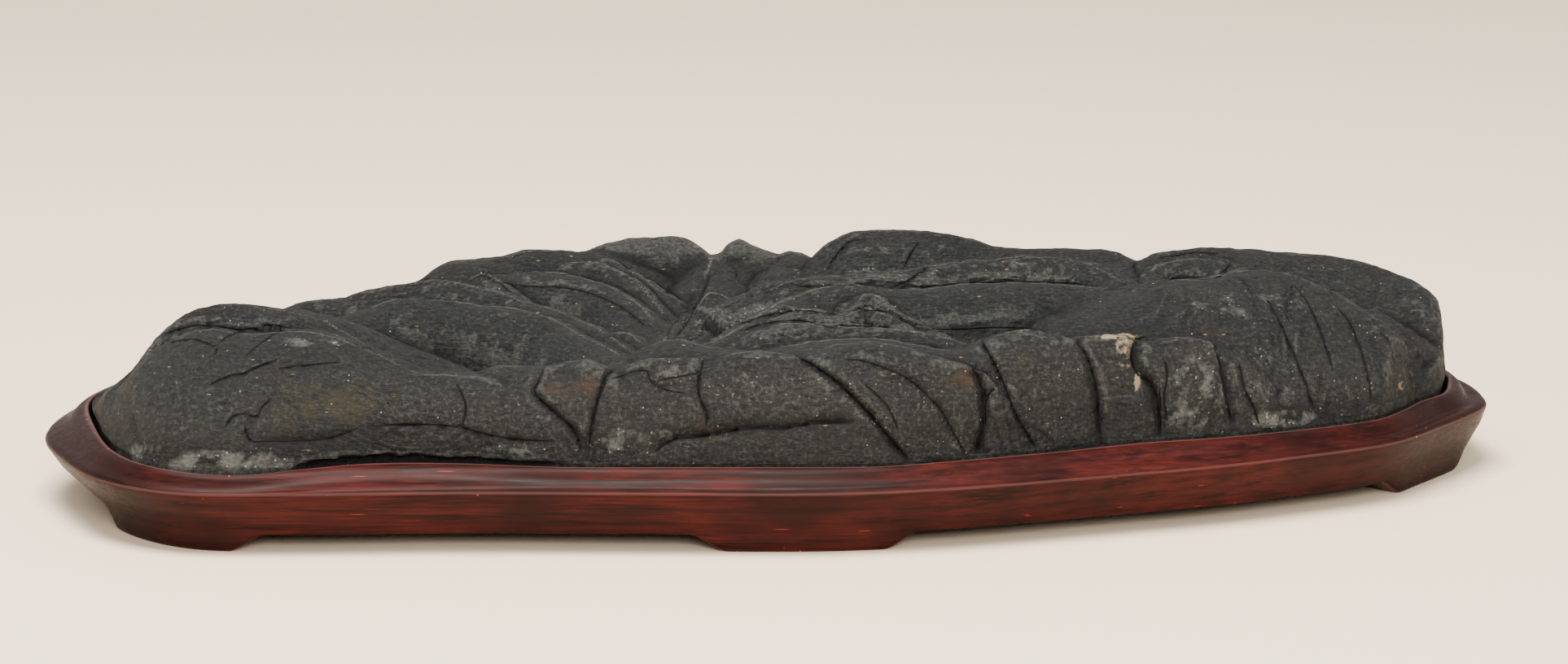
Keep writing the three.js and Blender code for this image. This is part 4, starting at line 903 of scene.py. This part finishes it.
def vertex_directions(vertices, faces):
    """The outward direction at each vertex: the sum of its faces' cross products, made one long."""
    a, b, c = (vertices[faces[:, k]] for k in range(3))
    cross = np.cross(b - a, c - a)
    total = np.zeros_like(vertices)
    for k in range(3):
        for axis in range(3):
            total[:, axis] += np.bincount(faces[:, k], cross[:, axis], len(vertices))
    return total / np.maximum(np.linalg.norm(total, axis=1), TINY)[:, None]


def neighbour_mean(values, groups):
    """The mean of each vertex's value over the other ends of its faces' edges."""
    ends = np.vstack([np.stack([group, np.roll(group, -1, 1)], -1).reshape(-1, 2) for group in groups])
    ends = np.vstack([ends, ends[:, ::-1]])
    count = np.bincount(ends[:, 0], minlength=len(values))
    total = [np.bincount(ends[:, 0], axis, len(values)) for axis in values[ends[:, 1]].T]
    return np.stack(total, -1) / np.maximum(count, 1)[:, None]


def noise(places, size, seed):
    """Smooth random bumps between -1 and 1: at each corner of a lattice of that size a random slope is
    drawn, and the slopes are blended between corners with a soft step."""
    places = places / size
    cell = np.floor(places).astype(np.int64)
    part = places - cell
    ease = part**3 * (part * (part * 6 - 15) + 10)
    total = np.zeros(len(places))
    for corner in np.ndindex(2, 2, 2):
        key = (cell + corner) @ CORNER_STIRS + seed * SEED_STIR
        slopes = []
        for _ in range(3):
            key = (key ^ (key >> 13)) * TURN_STIRS[0] & 0x7FFFFFFF
            key = (key ^ (key >> 16)) * TURN_STIRS[1] & 0x7FFFFFFF
            slopes.append((key >> 7 & 0xFFFF) / 32767.5 - 1)
        slope = np.stack(slopes, -1)
        weight = np.prod(np.where(corner, ease, 1 - ease), axis=-1)
        total += weight * np.sum(slope * (part - corner), axis=-1)
    return total * NOISE_GAIN


def layered_noise(places, layers):
    """Noise of several sizes added up: each layer is a height, a size and a seed."""
    return sum(height * noise(places, size, seed) for height, size, seed in layers)


def on_surface(surface, line):
    """A picture line carried along the view's sight lines on to the surface."""
    rays = sight_line(catmull_rom(line, CRACK_SPAN, False))
    hits = [surface.ray_cast(Vector(EYE), Vector(ray))[0] for ray in rays]
    return np.array([hit for hit in hits if hit is not None])


def along_cracks(vertices, surface):
    """For each vertex the signed distance to the nearest crack, how strong that crack is there, and how deep
    the surface is cut and lifted beside it.

    A crack is strongest in its middle and fades towards its ends. The cut falls off with the distance from
    it, and the surface below it swells a little, so that one face stands over the other.
    """
    side = np.full(len(vertices), FAR)
    strength = np.zeros(len(vertices))
    relief = np.zeros(len(vertices))
    for line, deepest, half_width, lift in CRACKS:
        hits = on_surface(surface, line)
        lengths = np.linalg.norm(np.diff(hits, axis=0), axis=1)
        walked = np.concatenate([[0], np.cumsum(lengths)]) / lengths.sum()
        around = (vertices > hits.min(0) - CRACK_REACH) & (vertices < hits.max(0) + CRACK_REACH)
        near = np.flatnonzero(np.all(around, axis=1))
        places = vertices[near]
        gap = np.full(len(near), np.inf)
        signed = np.full(len(near), FAR)
        way = np.zeros(len(near))
        for index, length in enumerate(lengths):
            if length > CRACK_JUMP or length == 0:
                continue
            step = hits[index + 1] - hits[index]
            offset = places - hits[index]
            t = np.clip(offset @ step / (step @ step), 0, 1)
            away = offset - t[:, None] * step
            mine = np.linalg.norm(away, axis=1)
            closer = mine < gap
            gap = np.where(closer, mine, gap)
            above = away @ np.cross(step, VIEW_BACK)
            signed = np.where(closer, np.where(above > 0, mine, -mine), signed)
            way = np.where(closer, walked[index] + t * (walked[index + 1] - walked[index]), way)
        fade = smoothstep(way, 0, CRACK_FADE) * smoothstep(1 - way, 0, CRACK_FADE)
        relief[near] -= deepest * fade * np.exp(-(gap / half_width) ** CUT_POWER)
        relief[near] += lift * fade * np.exp(-gap / LIFT_WIDTH) * (signed < 0)
        better = gap < np.abs(side[near])
        side[near] = np.where(better, signed, side[near])
        strength[near] = np.where(better, fade * np.exp(-(gap / DARK_WIDTH) ** 2), strength[near])
    return side, strength, relief


def marked(vertices, normal, ellipses):
    """How strongly each vertex is marked: an ellipse's strength in its middle, none outside it, broken up by
    noise, and none where the surface is turned away from the viewpoint."""
    picture = shown(vertices)
    view = EYE - vertices
    facing = np.sum(view * normal, axis=1) / np.linalg.norm(view, axis=1)
    share = np.zeros(len(vertices))
    for x, y, half_width, half_height, strength in ellipses:
        away = np.hypot((picture[:, 0] - x) / half_width, (picture[:, 1] - y) / half_height)
        share = np.maximum(share, strength * (1 - smoothstep(away, *MARK_FADE)))
    ragged = smoothstep(layered_noise(vertices, MARK_NOISE), *MARK_BREAK)
    return share * (MARK_LEAST + (1 - MARK_LEAST) * ragged) * smoothstep(facing, *MARK_FACING)


def by_crest(strengths, which, default):
    """A strength looked up for the crest that makes each vertex."""
    return np.array([strengths.get(made["name"], default) for made in CRESTS])[which]


def ledges(steps):
    """A row of small ledges: each rises slowly over one step and falls quickly at its end."""
    part = steps - np.floor(steps)
    return part * (1 - part**LEDGE_POWER)


def stone_relief(vertices, which, along, across):
    """How far the weathered surface stands out: lumps of three sizes, ledges and creases that run along each
    crest and thin out away from it, and scores that run down the walls at the right. With it come the steps
    of the finest wrinkles, which the material draws, and how strong they are."""
    crest_top = np.array([line[:, 2].max() for line in CREST_LINES])[which]
    down = np.hypot(across, np.maximum(crest_top - vertices[:, 2], 0)) * np.sign(across)
    sway = noise(vertices, *SWAY_NOISE)
    patches = smoothstep(noise(vertices, *PATCH_NOISE), *PATCH_EDGE)
    near_crest = np.exp(-(down / CREST_WIDTH) ** 2)
    wrinkled = by_crest(WRINKLED, which, WRINKLED_ELSEWHERE)
    wrinkled = wrinkled * (PATCH_LEAST + (1 - PATCH_LEAST) * patches)
    wrinkled = wrinkled * (CREST_LEAST + (1 - CREST_LEAST) * near_crest)
    scored = by_crest(SCORED, which, SCORED_ELSEWHERE) * smoothstep(np.abs(down), *SCORED_FROM)
    folds = ledges(down / LEDGE_STEP + LEDGE_SWAY * sway + layered_noise(vertices, [LEDGE_NOISE]))
    places = np.column_stack([along / CREASE_LENGTH, down / CREASE_STEP, which * CREASE_APART])
    creases = CREASE_LEVEL - np.abs(noise(places, 1, CREASE_SEED))
    way = along / SCORE_STEP + SCORE_SWAY * sway
    places = np.column_stack([way, down / SCORE_LENGTH, which * SCORE_APART])
    scores = SCORE_LEVEL - np.abs(noise(places, 1, SCORE_SEED))
    relief = layered_noise(vertices, LUMPS)
    relief += wrinkled * (LEDGE_HEIGHT * (folds - LEDGE_MIDDLE) + CREASE_HEIGHT * creases)
    relief += SCORE_HEIGHT * scored * scores
    return relief, down / FINE_STEP + FINE_SWAY * sway, wrinkled


def make_mesh(name, vertices, groups):
    """A smooth-shaded mesh, in metres, from vertex places and groups of faces."""
    faces = [face for group in groups for face in group.tolist()]
    mesh = bpy.data.meshes.new(name)
    mesh.from_pydata((vertices * MM).tolist(), [], faces)
    mesh.polygons.foreach_set("use_smooth", np.ones(len(faces), bool))
    mesh.validate()
    mesh.update()
    piece = bpy.data.objects.new(name, mesh)
    bpy.context.scene.collection.objects.link(piece)
    return piece


def set_attribute(piece, name, values):
    """One number on each vertex for the material to read."""
    attribute = piece.data.attributes.new(name, "FLOAT", "POINT")
    attribute.data.foreach_set("value", np.asarray(values, np.float32))


def make_stone():
    """The fine stone: its crests and grooves, then the weathered relief and the cracks along its outward
    directions, kept under the solid's top. Its material is told of each vertex's relief, marks and cracks."""
    heights = plan_grid()
    vertices, groups = without_spares(stone_surface(heights), stone_faces())
    faces = as_triangles(groups)
    surface = BVHTree.FromPolygons(vertices.tolist(), faces.tolist())
    normal = vertex_directions(vertices, faces)
    which, along, across = stone_height(vertices[:, 0], vertices[:, 1])[1:]
    crack_side, crack_strength, cut = along_cracks(vertices, surface)
    relief, wrinkle_step, wrinkled = stone_relief(vertices, which, along, across)
    relief += cut
    relief *= smoothstep(vertices[:, 2], *RELIEF_FROM)
    vertices = vertices + normal * relief[:, None]
    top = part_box("stone")[1][2] / MM
    vertices[:, 2] = np.minimum(vertices[:, 2], top)
    smooth = vertices
    for _ in range(SMOOTHINGS):
        smooth = neighbour_mean(smooth, groups)
    outside = np.sum((vertices - smooth) * normal, axis=1)
    # How far each vertex lies under the blurred ground around it drives the painted shade in the valleys
    around = blurred(np.maximum(heights, CORE_HEIGHT), AROUND)
    sunk = from_grid(around, vertices[:, 0], vertices[:, 1]) - vertices[:, 2]
    lengths = np.array([np.linalg.norm(np.diff(line[:, :2], axis=0), axis=1).sum() for line in CREST_LINES])
    from_ends = smoothstep(along, *CREST_HIGHLIGHT_ENDS) * smoothstep(lengths[which] - along, *CREST_HIGHLIGHT_ENDS)
    told = {
        "worn": smoothstep(outside, *WORN_BY),
        # painted shade in creases, where a vertex lies in from its neighbours' mean
        "painted_crease_shade": smoothstep(-outside, *PAINTED_CREASE_SHADE_BY),
        # painted shade in sunken valleys that face up, partly their darker dust and patina
        "deep": smoothstep(sunk, *PAINTED_VALLEY_SHADE_BY) * smoothstep(normal[:, 2], *PAINTED_VALLEY_SHADE_FACING),
        # a painted highlight along each crest's line, fading at its ends
        "crest": np.exp(-(across / CREST_HIGHLIGHT_WIDTH) ** 2) * from_ends,
        "wrinkle_step": wrinkle_step,
        "wrinkled": wrinkled,
        "crack_side": crack_side,
        "crack_strength": crack_strength,
    }
    told |= {name: marked(vertices, normal, ellipses) for name, ellipses in MARKS.items()}
    piece = make_mesh("weathered_limestone", vertices, groups)
    for name, values in told.items():
        set_attribute(piece, name, values)
    return piece


def foot_share(points):
    """1 where a foot stands on the floor, 0 under the apron, with a soft curve between."""
    shares = [
        1 - smoothstep(np.linalg.norm(points - middle, axis=1) - length / 2, 0, FOOT_FLARE)
        for middle, length in FEET
    ]
    return np.max(shares, axis=0)


def lip_height(points):
    """The height of the lip, which dips at the left front."""
    dip = np.exp(-((points[..., 0] - LIP_DIP_X) / LIP_DIP_HALF_LENGTH) ** 2) * (points[..., 1] < 0)
    return LIP_TOP - LIP_DIP * dip


def stand_rows():
    """The stand's rows of points, from the recess floor over the lip and rim and down to the underside."""
    recess = column_points(RECESS_LOOP, RECESS_CORNERS)
    arris = column_points(ARRIS_LOOP, ARRIS_CORNERS)
    recess_out = outward(recess)
    arris_out = outward(arris)
    lip = lip_height(recess)
    undercut = 1 + LEFT_UNDERCUT * smoothstep(-arris[:, 0], END_START, END_WHOLE)
    bottom = APRON_BOTTOM * (1 - foot_share(arris))
    under = FOOT_INSET * undercut + FOOT_THICKNESS
    inset, height = SIDE_ROWS[-1]

    def row(plan, height):
        """Plan points at a height."""
        return np.column_stack([plan, np.broadcast_to(height, len(plan))])

    def rim(share, drop):
        """A row on the rim, a share of the way from the recess to the arris."""
        cove = END_COVE * smoothstep(recess[:, 0], COVE_START, COVE_WHOLE)
        cove = cove * math.exp(-((share - COVE_MIDDLE) / COVE_WIDTH) ** 2)
        return row(recess + (arris - recess) * share, lip - drop - cove)

    def side(inset, height):
        """A row on the side, further in at the left end."""
        return row(arris - arris_out * (ARRIS_INSET + inset * undercut)[:, None], height)

    rows = [row(recess, RECESS_FLOOR)]
    rows += [row(recess + recess_out * out, lip - drop) for out, drop in LIP_ROWS]
    rows += [rim(share, drop) for share, drop in RIM_ROWS]
    rows += [side(*place) for place in SIDE_ROWS]
    for share in FOOT_SHARES:
        rows.append(side(inset + (FOOT_INSET - inset) * share, height + (bottom - height) * share))
    rows.append(side(FOOT_INSET + FOOT_ROUND, bottom))
    rows.append(row(arris - arris_out * under[:, None], bottom))
    rows.append(row(arris - arris_out * (under + UNDERSIDE_STEP)[:, None], UNDERSIDE))
    return np.array(rows)


def make_stand():
    """The carved stand as one closed ring of rows, with a fan for the recess floor and one underneath."""
    rows = stand_rows()
    count, columns = rows.shape[:2]
    vertices = np.vstack([rows.reshape(-1, 3), [0, 0, RECESS_FLOOR], [0, 0, UNDERSIDE]])
    number = np.arange(count * columns).reshape(count, columns)
    number = np.column_stack([number, number[:, 0]])
    quads = grid_faces(number[::-1])
    first, last = number[0], number[-1]
    floor = np.column_stack([first[:-1], first[1:], np.full(columns, count * columns)])
    under = np.column_stack([last[1:], last[:-1], np.full(columns, count * columns + 1)])
    piece = make_mesh("carved_rosewood", vertices, [quads, floor, under])
    row = np.append(np.repeat(np.arange(count), columns), [0, 0])
    # Nearness to the edge rows places the painted highlight along the edges and the nicks
    nearness = [np.exp(-((row - middle) / width) ** 2) for middle, width in EDGE_ROWS]
    set_attribute(piece, "edge", np.max(nearness, axis=0))
    set_attribute(piece, "end", smoothstep(np.abs(vertices[:, 0]), END_START, END_WHOLE))
    return piece


# Materials

# Places of the colour sockets on a Mix node, whose names come more than once
MIX_SHARE = 0
MIX_UNDER = 6
MIX_OVER = 7
MIX_RESULT = 2

# The numbers on the stone's vertices that its material reads
STONE_ATTRIBUTES = [
    "worn", "painted_crease_shade", "deep", "crest", "wrinkle_step", "wrinkled", "crack_side", "crack_strength", *MARKS,
]

# Tones of the stone, by the size of their lumps in millimetres, then detail and roughness. The real grain is
# too fine to show in the picture, so it is drawn as coarse as 1.3 mm
STONE_TONES = {
    "broad": (40, 4, 0.5), "mottle": (6, 6, 0.6), "grain": (1.3, 4, 0.7), "bedding": (1.6, 4, 0.6),
    "pitted": (2.0, 6, 0.75),
}

# The bedding shows as fine marks that are four times as long as they are high, and lie at a slight slope
BED_SCALE = (0.35, 0.35, 1.4)
BED_SLOPE = 0.12

# Sparse spots: the distance between them, their radius, both in millimetres, and the share that is kept
CRUMBS = (1.5, 0.34, 0.3)
FLECKS = (2.6, 0.26, 0.16)
DASHES = (2.0, 0.3, 0.1)
NICKS = (2.6, 0.42, 0.16)
PORES = (1.2, 0.16, 0.12)

# Attributes of the stone that a tone breaks up
STONE_BROKEN = {
    "olive": "mottle", "brown": "mottle", "worn": "grain", "crest": "grain", "frost": "grain",
    "calcite": "grain",
}

# A crack's black line: how far from its middle it begins to fade and is gone, in millimetres
CRACK_LINE = (0.12, 0.42)

# Coats of colour over a ground, from the lowest up: tint, what drives it, from where to where, and the most
STONE_GROUND = "#202325"
STONE_COATS = [
    ("#2a2c2c", "broad", 0.35, 0.65, 1.0),
    ("#373731", "mottle", 0.5, 0.7, 0.6),
    ("#0f0f0f", "bedding", 0.48, 0.36, 0.7),
    ("#4d4f4e", "grain", 0.5, 0.68, 0.9),
    ("#423d29", "olive", 0.1, 0.6, 0.9),
    ("#4a3a30", "brown", 0.1, 0.6, 0.9),
    # painted shade on the faces that turn upward
    ("#151515", "painted_shade_on_tops", 0.1, 0.9, 0.5),
    ("#595955", "worn", 0.3, 0.62, 0.6),
    # painted shade in the sunken valleys, partly their darker dust and patina
    ("#0e0e0e", "deep", 0, 1, 0.7),
    # painted shade in the creases
    ("#0c0c0c", "painted_crease_shade", 0, 1, 0.75),
    # painted highlight along the crests
    ("#6f6c64", "crest", 0.22, 0.6, 0.7),
    ("#70726f", "frost", 0.16, 0.5, 0.8),
    ("#060606", "shade", 0.15, 0.9, 0.9),
    ("#a8977b", "calcite", 0.22, 0.4, 0.9),
    ("#b4b5b0", "crumbs", 0, 0.5, 0.8),
    ("#d9d4c8", "flecks", 0, 1, 0.75),
    ("#a8906c", "dashes", 0, 1, 0.55),
    ("#080808", "cracks", 0, 0.5, 0.95),
]

# Fine relief of the stone, from the lowest up: what drives it, strength, height in millimetres, and whether
# it is cut in
STONE_BUMPS = [
    ("pitted", 1.0, 3.0, False), ("bedding", 0.8, 1.2, False), ("wrinkles", 1.0, 3.0, False),
    ("cracks", 0.8, 0.6, True),
]
WRINKLE_WAVER = 1.5

# The wood's grain runs level and is drawn out along the stand. Tones as for the stone
GRAIN_SCALE = (0.045, 0.3, 1)
WOOD_TONES = {"grain": (2.2, 6, 0.6), "fine": (0.8, 4, 0.6), "patches": (34, 3, 0.5)}
WOOD_GROUND = "#391210"
WOOD_COATS = [
    ("#1a0807", "grain", 0.42, 0.64, 1.0),
    ("#4f1b15", "fine", 0.5, 0.72, 0.6),
    ("#1a0908", "patches", 0.42, 0.64, 0.75),
    ("#170c0b", "end", 0, 1, 0.8),
    # painted highlight along the lip, the arris and the foot
    ("#87605e", "edge", 0.4, 1, 0.28),
    ("#b4532f", "nicks", 0, 0.4, 0.8),
    ("#8f3a26", "pores", 0, 1, 0.6),
]
WOOD_BUMP = (0.15, 0.2)

# How rough each surface is where the tone that drives it is low and high, and how strongly it mirrors
TONE_RANGE = (0.3, 0.7)
STONE_ROUGHNESS = (0.5, 0.75)
WOOD_ROUGHNESS = (0.36, 0.54)
STONE_SPECULAR = 0.2
WOOD_SPECULAR = 0.08

# The studio, in metres: each softbox has its place, what it faces, its size and its power
FLOOR_REACH = 20
FLOOR_TINT = "#f6e2c8"
FLOOR_ROUGHNESS = 0.6
SOFTBOXES = {
    "overhead softbox": ((-0.2, -0.3, 1.7), (0, 0, 0), (1.2, 0.7), 84),
    "front softbox": ((0.4, -2.6, 1.2), (0, 0, 0.03), (1.4, 0.9), 72),
}
SOFTBOX_TINT = "#fffcf4"
SURROUND_TINT = "#f6f0e8"
SURROUND_STRENGTH = 0.95


def colour(hex_code):
    """An sRGB hex colour as linear numbers."""
    parts = [int(hex_code[i:i + 2], 16) / 255 for i in (1, 3, 5)]
    return [p / 12.92 if p <= 0.04045 else ((p + 0.055) / 1.055) ** 2.4 for p in parts] + [1]


def add(tree, kind, inputs, output=0, **settings):
    """Adds a node with its settings, gives each of its inputs a value or another node's output, and returns
    one of its outputs."""
    made = tree.nodes.new("ShaderNode" + kind)
    for name, value in settings.items():
        setattr(made, name, value)
    for name, value in inputs.items():
        if isinstance(value, bpy.types.NodeSocket):
            tree.links.new(value, made.inputs[name])
        else:
            made.inputs[name].default_value = value
    return made.outputs[output]


def coated(tree, ground, coats, drives):
    """Coats of colour over a ground colour. Each is mixed in by its driving number: none of it where that is
    low, and the most of it where that is high."""
    base = colour(ground)
    for tint, name, low, high, most in coats:
        share = {"Value": drives[name], "From Min": low, "From Max": high, "To Max": most}
        inputs = {MIX_SHARE: add(tree, "MapRange", share), MIX_UNDER: base, MIX_OVER: colour(tint)}
        base = add(tree, "Mix", inputs, MIX_RESULT, data_type="RGBA")
    return base


def new_material(name):
    """A named material with its node tree and its shader."""
    material = bpy.data.materials.new(name)
    material.use_nodes = True
    return material, material.node_tree, material.node_tree.nodes["Principled BSDF"]


def spots(tree, place, spacing, radius, kept):
    """Sparse round spots: one in each cell of the spacing, and only the kept share of the cells has one. A
    spot is whole within half its radius and fades out to its radius."""
    away = add(tree, "TexVoronoi", {"Vector": place, "Scale": 1 / (spacing * MM)}, "Distance")
    size = {"Value": away, "From Min": radius / spacing, "From Max": 0.5 * radius / spacing}
    chance = add(tree, "SeparateColor", {"Color": away.node.outputs["Color"]}, "Red")
    chosen = add(tree, "Math", {0: chance, 1: kept}, operation="LESS_THAN")
    return add(tree, "Math", {0: add(tree, "MapRange", size), 1: chosen}, operation="MULTIPLY")


def limestone():
    """Weathered dark limestone, handled for years: matt charcoal, paler where its high points are rubbed,
    with painted highlights along its crests, frosted feet, olive and brown stains, white flecks, black
    cracks, and painted shade in its creases, valleys and crevices and on the faces that turn upward."""
    material, tree, shader = new_material("weathered dark limestone")
    place = add(tree, "TexCoord", {}, "Object")
    bed = add(tree, "Mapping", {"Vector": place, "Scale": BED_SCALE, "Rotation": (0, BED_SLOPE, 0)})
    drives = {name: add(tree, "Attribute", {}, "Fac", attribute_name=name) for name in STONE_ATTRIBUTES}
    for name, (size, detail, roughness) in STONE_TONES.items():
        inputs = {"Vector": bed if name == "bedding" else place, "Scale": 1 / (size * MM)}
        drives[name] = add(tree, "TexNoise", inputs | {"Detail": detail, "Roughness": roughness})
    # The faces that turn upward are painted darker: painted shade on the tops
    drives["painted_shade_on_tops"] = add(tree, "SeparateXYZ", {0: add(tree, "NewGeometry", {}, "Normal")}, "Z")
    crumbs = spots(tree, place, *CRUMBS)
    drives["crumbs"] = add(tree, "Math", {0: crumbs, 1: drives["frost"]}, operation="MULTIPLY")
    drives["flecks"] = spots(tree, place, *FLECKS)
    drives["dashes"] = spots(tree, bed, *DASHES)
    for name, tone in STONE_BROKEN.items():
        drives[name] = add(tree, "Math", {0: drives[name], 1: drives[tone]}, operation="MULTIPLY")

    # A crack is a thin line on the distance from its middle, as dark as the crack is strong
    gap = add(tree, "Math", {0: drives["crack_side"]}, operation="ABSOLUTE")
    whole, gone = CRACK_LINE
    thin = add(tree, "MapRange", {"Value": gap, "From Min": gone, "From Max": whole})
    drives["cracks"] = add(tree, "Math", {0: thin, 1: drives["crack_strength"]}, operation="MULTIPLY")

    # Each wrinkle rises slowly and falls quickly, once for every whole step of the attribute
    step = {0: drives["mottle"], 1: WRINKLE_WAVER, 2: drives["wrinkle_step"]}
    part = add(tree, "Math", {0: add(tree, "Math", step, operation="MULTIPLY_ADD")}, operation="FRACT")
    fall = add(tree, "Math", {0: part, 1: LEDGE_POWER}, operation="POWER")
    ledge = add(tree, "Math", {0: part, 1: fall}, operation="SUBTRACT")
    drives["wrinkles"] = add(tree, "Math", {0: ledge, 1: drives["wrinkled"]}, operation="MULTIPLY")

    under = {}
    for name, strength, height, cut_in in STONE_BUMPS:
        inputs = {"Height": drives[name], "Strength": strength, "Distance": height * MM, **under}
        under = {"Normal": add(tree, "Bump", inputs, invert=cut_in)}
    (low, high), (least, most) = TONE_RANGE, STONE_ROUGHNESS
    matt = {"Value": drives["mottle"], "From Min": low, "From Max": high, "To Min": least, "To Max": most}
    tree.links.new(coated(tree, STONE_GROUND, STONE_COATS, drives), shader.inputs["Base Color"])
    tree.links.new(add(tree, "MapRange", matt), shader.inputs["Roughness"])
    tree.links.new(under["Normal"], shader.inputs["Normal"])
    shader.inputs["Specular IOR Level"].default_value = STONE_SPECULAR
    return material


def rosewood():
    """Old rosewood, carved and wax polished: deep red brown with dark level grain, darker at both ends,
    satin, with a painted highlight along its edges, and with small orange nicks where its edges were knocked."""
    material, tree, shader = new_material("waxed rosewood")
    place = add(tree, "TexCoord", {}, "Object")
    along = add(tree, "Mapping", {"Vector": place, "Scale": GRAIN_SCALE})
    drives = {name: add(tree, "Attribute", {}, "Fac", attribute_name=name) for name in ("end", "edge")}
    for name, (size, detail, roughness) in WOOD_TONES.items():
        inputs = {"Vector": place if name == "patches" else along, "Scale": 1 / (size * MM)}
        drives[name] = add(tree, "TexNoise", inputs | {"Detail": detail, "Roughness": roughness})
    nicks = spots(tree, place, *NICKS)
    drives["nicks"] = add(tree, "Math", {0: nicks, 1: drives["edge"]}, operation="MULTIPLY")
    drives["pores"] = spots(tree, along, *PORES)
    (low, high), (least, most) = TONE_RANGE, WOOD_ROUGHNESS
    satin = {"Value": drives["fine"], "From Min": low, "From Max": high, "To Min": least, "To Max": most}
    strength, height = WOOD_BUMP
    bump = {"Height": drives["fine"], "Strength": strength, "Distance": height * MM}
    tree.links.new(coated(tree, WOOD_GROUND, WOOD_COATS, drives), shader.inputs["Base Color"])
    tree.links.new(add(tree, "MapRange", satin), shader.inputs["Roughness"])
    tree.links.new(add(tree, "Bump", bump), shader.inputs["Normal"])
    shader.inputs["Specular IOR Level"].default_value = WOOD_SPECULAR
    return material


def studio_floor():
    """A pale matt studio floor."""
    material, _, shader = new_material("pale studio floor")
    shader.inputs["Base Color"].default_value = colour(FLOOR_TINT)
    shader.inputs["Roughness"].default_value = FLOOR_ROUGHNESS
    return material


def make_camera():
    """The camera of the photograph, looking down at the stand's middle."""
    data = bpy.data.cameras.new("camera")
    data.sensor_fit = "HORIZONTAL"
    data.sensor_width = SENSOR
    data.lens = SENSOR * FOCAL_PIXELS / PICTURE_WIDTH
    camera = bpy.data.objects.new("camera", data)
    camera.location = Vector(EYE * MM)
    camera.rotation_euler = (math.pi / 2 - VIEW_PITCH, 0, 0)
    bpy.context.scene.collection.objects.link(camera)
    bpy.context.scene.camera = camera


def make_softbox(name, place, aim, size, power):
    """A soft rectangular light turned towards a point."""
    data = bpy.data.lights.new(name, "AREA")
    data.shape = "RECTANGLE"
    data.size, data.size_y = size
    data.energy = power
    data.color = colour(SOFTBOX_TINT)[:3]
    light = bpy.data.objects.new(name, data)
    light.location = place
    light.rotation_euler = (Vector(aim) - Vector(place)).to_track_quat("-Z", "Y").to_euler()
    bpy.context.scene.collection.objects.link(light)


def make_studio():
    """The floor, the soft lights and the pale surroundings."""
    corners = np.array([(-1, -1, 0), (1, -1, 0), (1, 1, 0), (-1, 1, 0)]) * FLOOR_REACH / MM
    floor = make_mesh("studio_floor", corners, [np.array([[0, 1, 2, 3]])])
    floor.data.materials.append(studio_floor())
    for name, softbox in SOFTBOXES.items():
        make_softbox(name, *softbox)
    world = bpy.data.worlds.new("pale studio")
    world.use_nodes = True
    background = world.node_tree.nodes["Background"]
    background.inputs["Color"].default_value = colour(SURROUND_TINT)
    background.inputs["Strength"].default_value = SURROUND_STRENGTH
    bpy.context.scene.world = world


make_camera()
make_studio()
stone = make_stone()
stone.data.materials.append(limestone())
stand = make_stand()
stand.data.materials.append(rosewood())
for piece, node, slot in ((stone, "stone", "slate"), (stand, "stand", "rosewood")):
    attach(piece, "root")
    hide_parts(node)
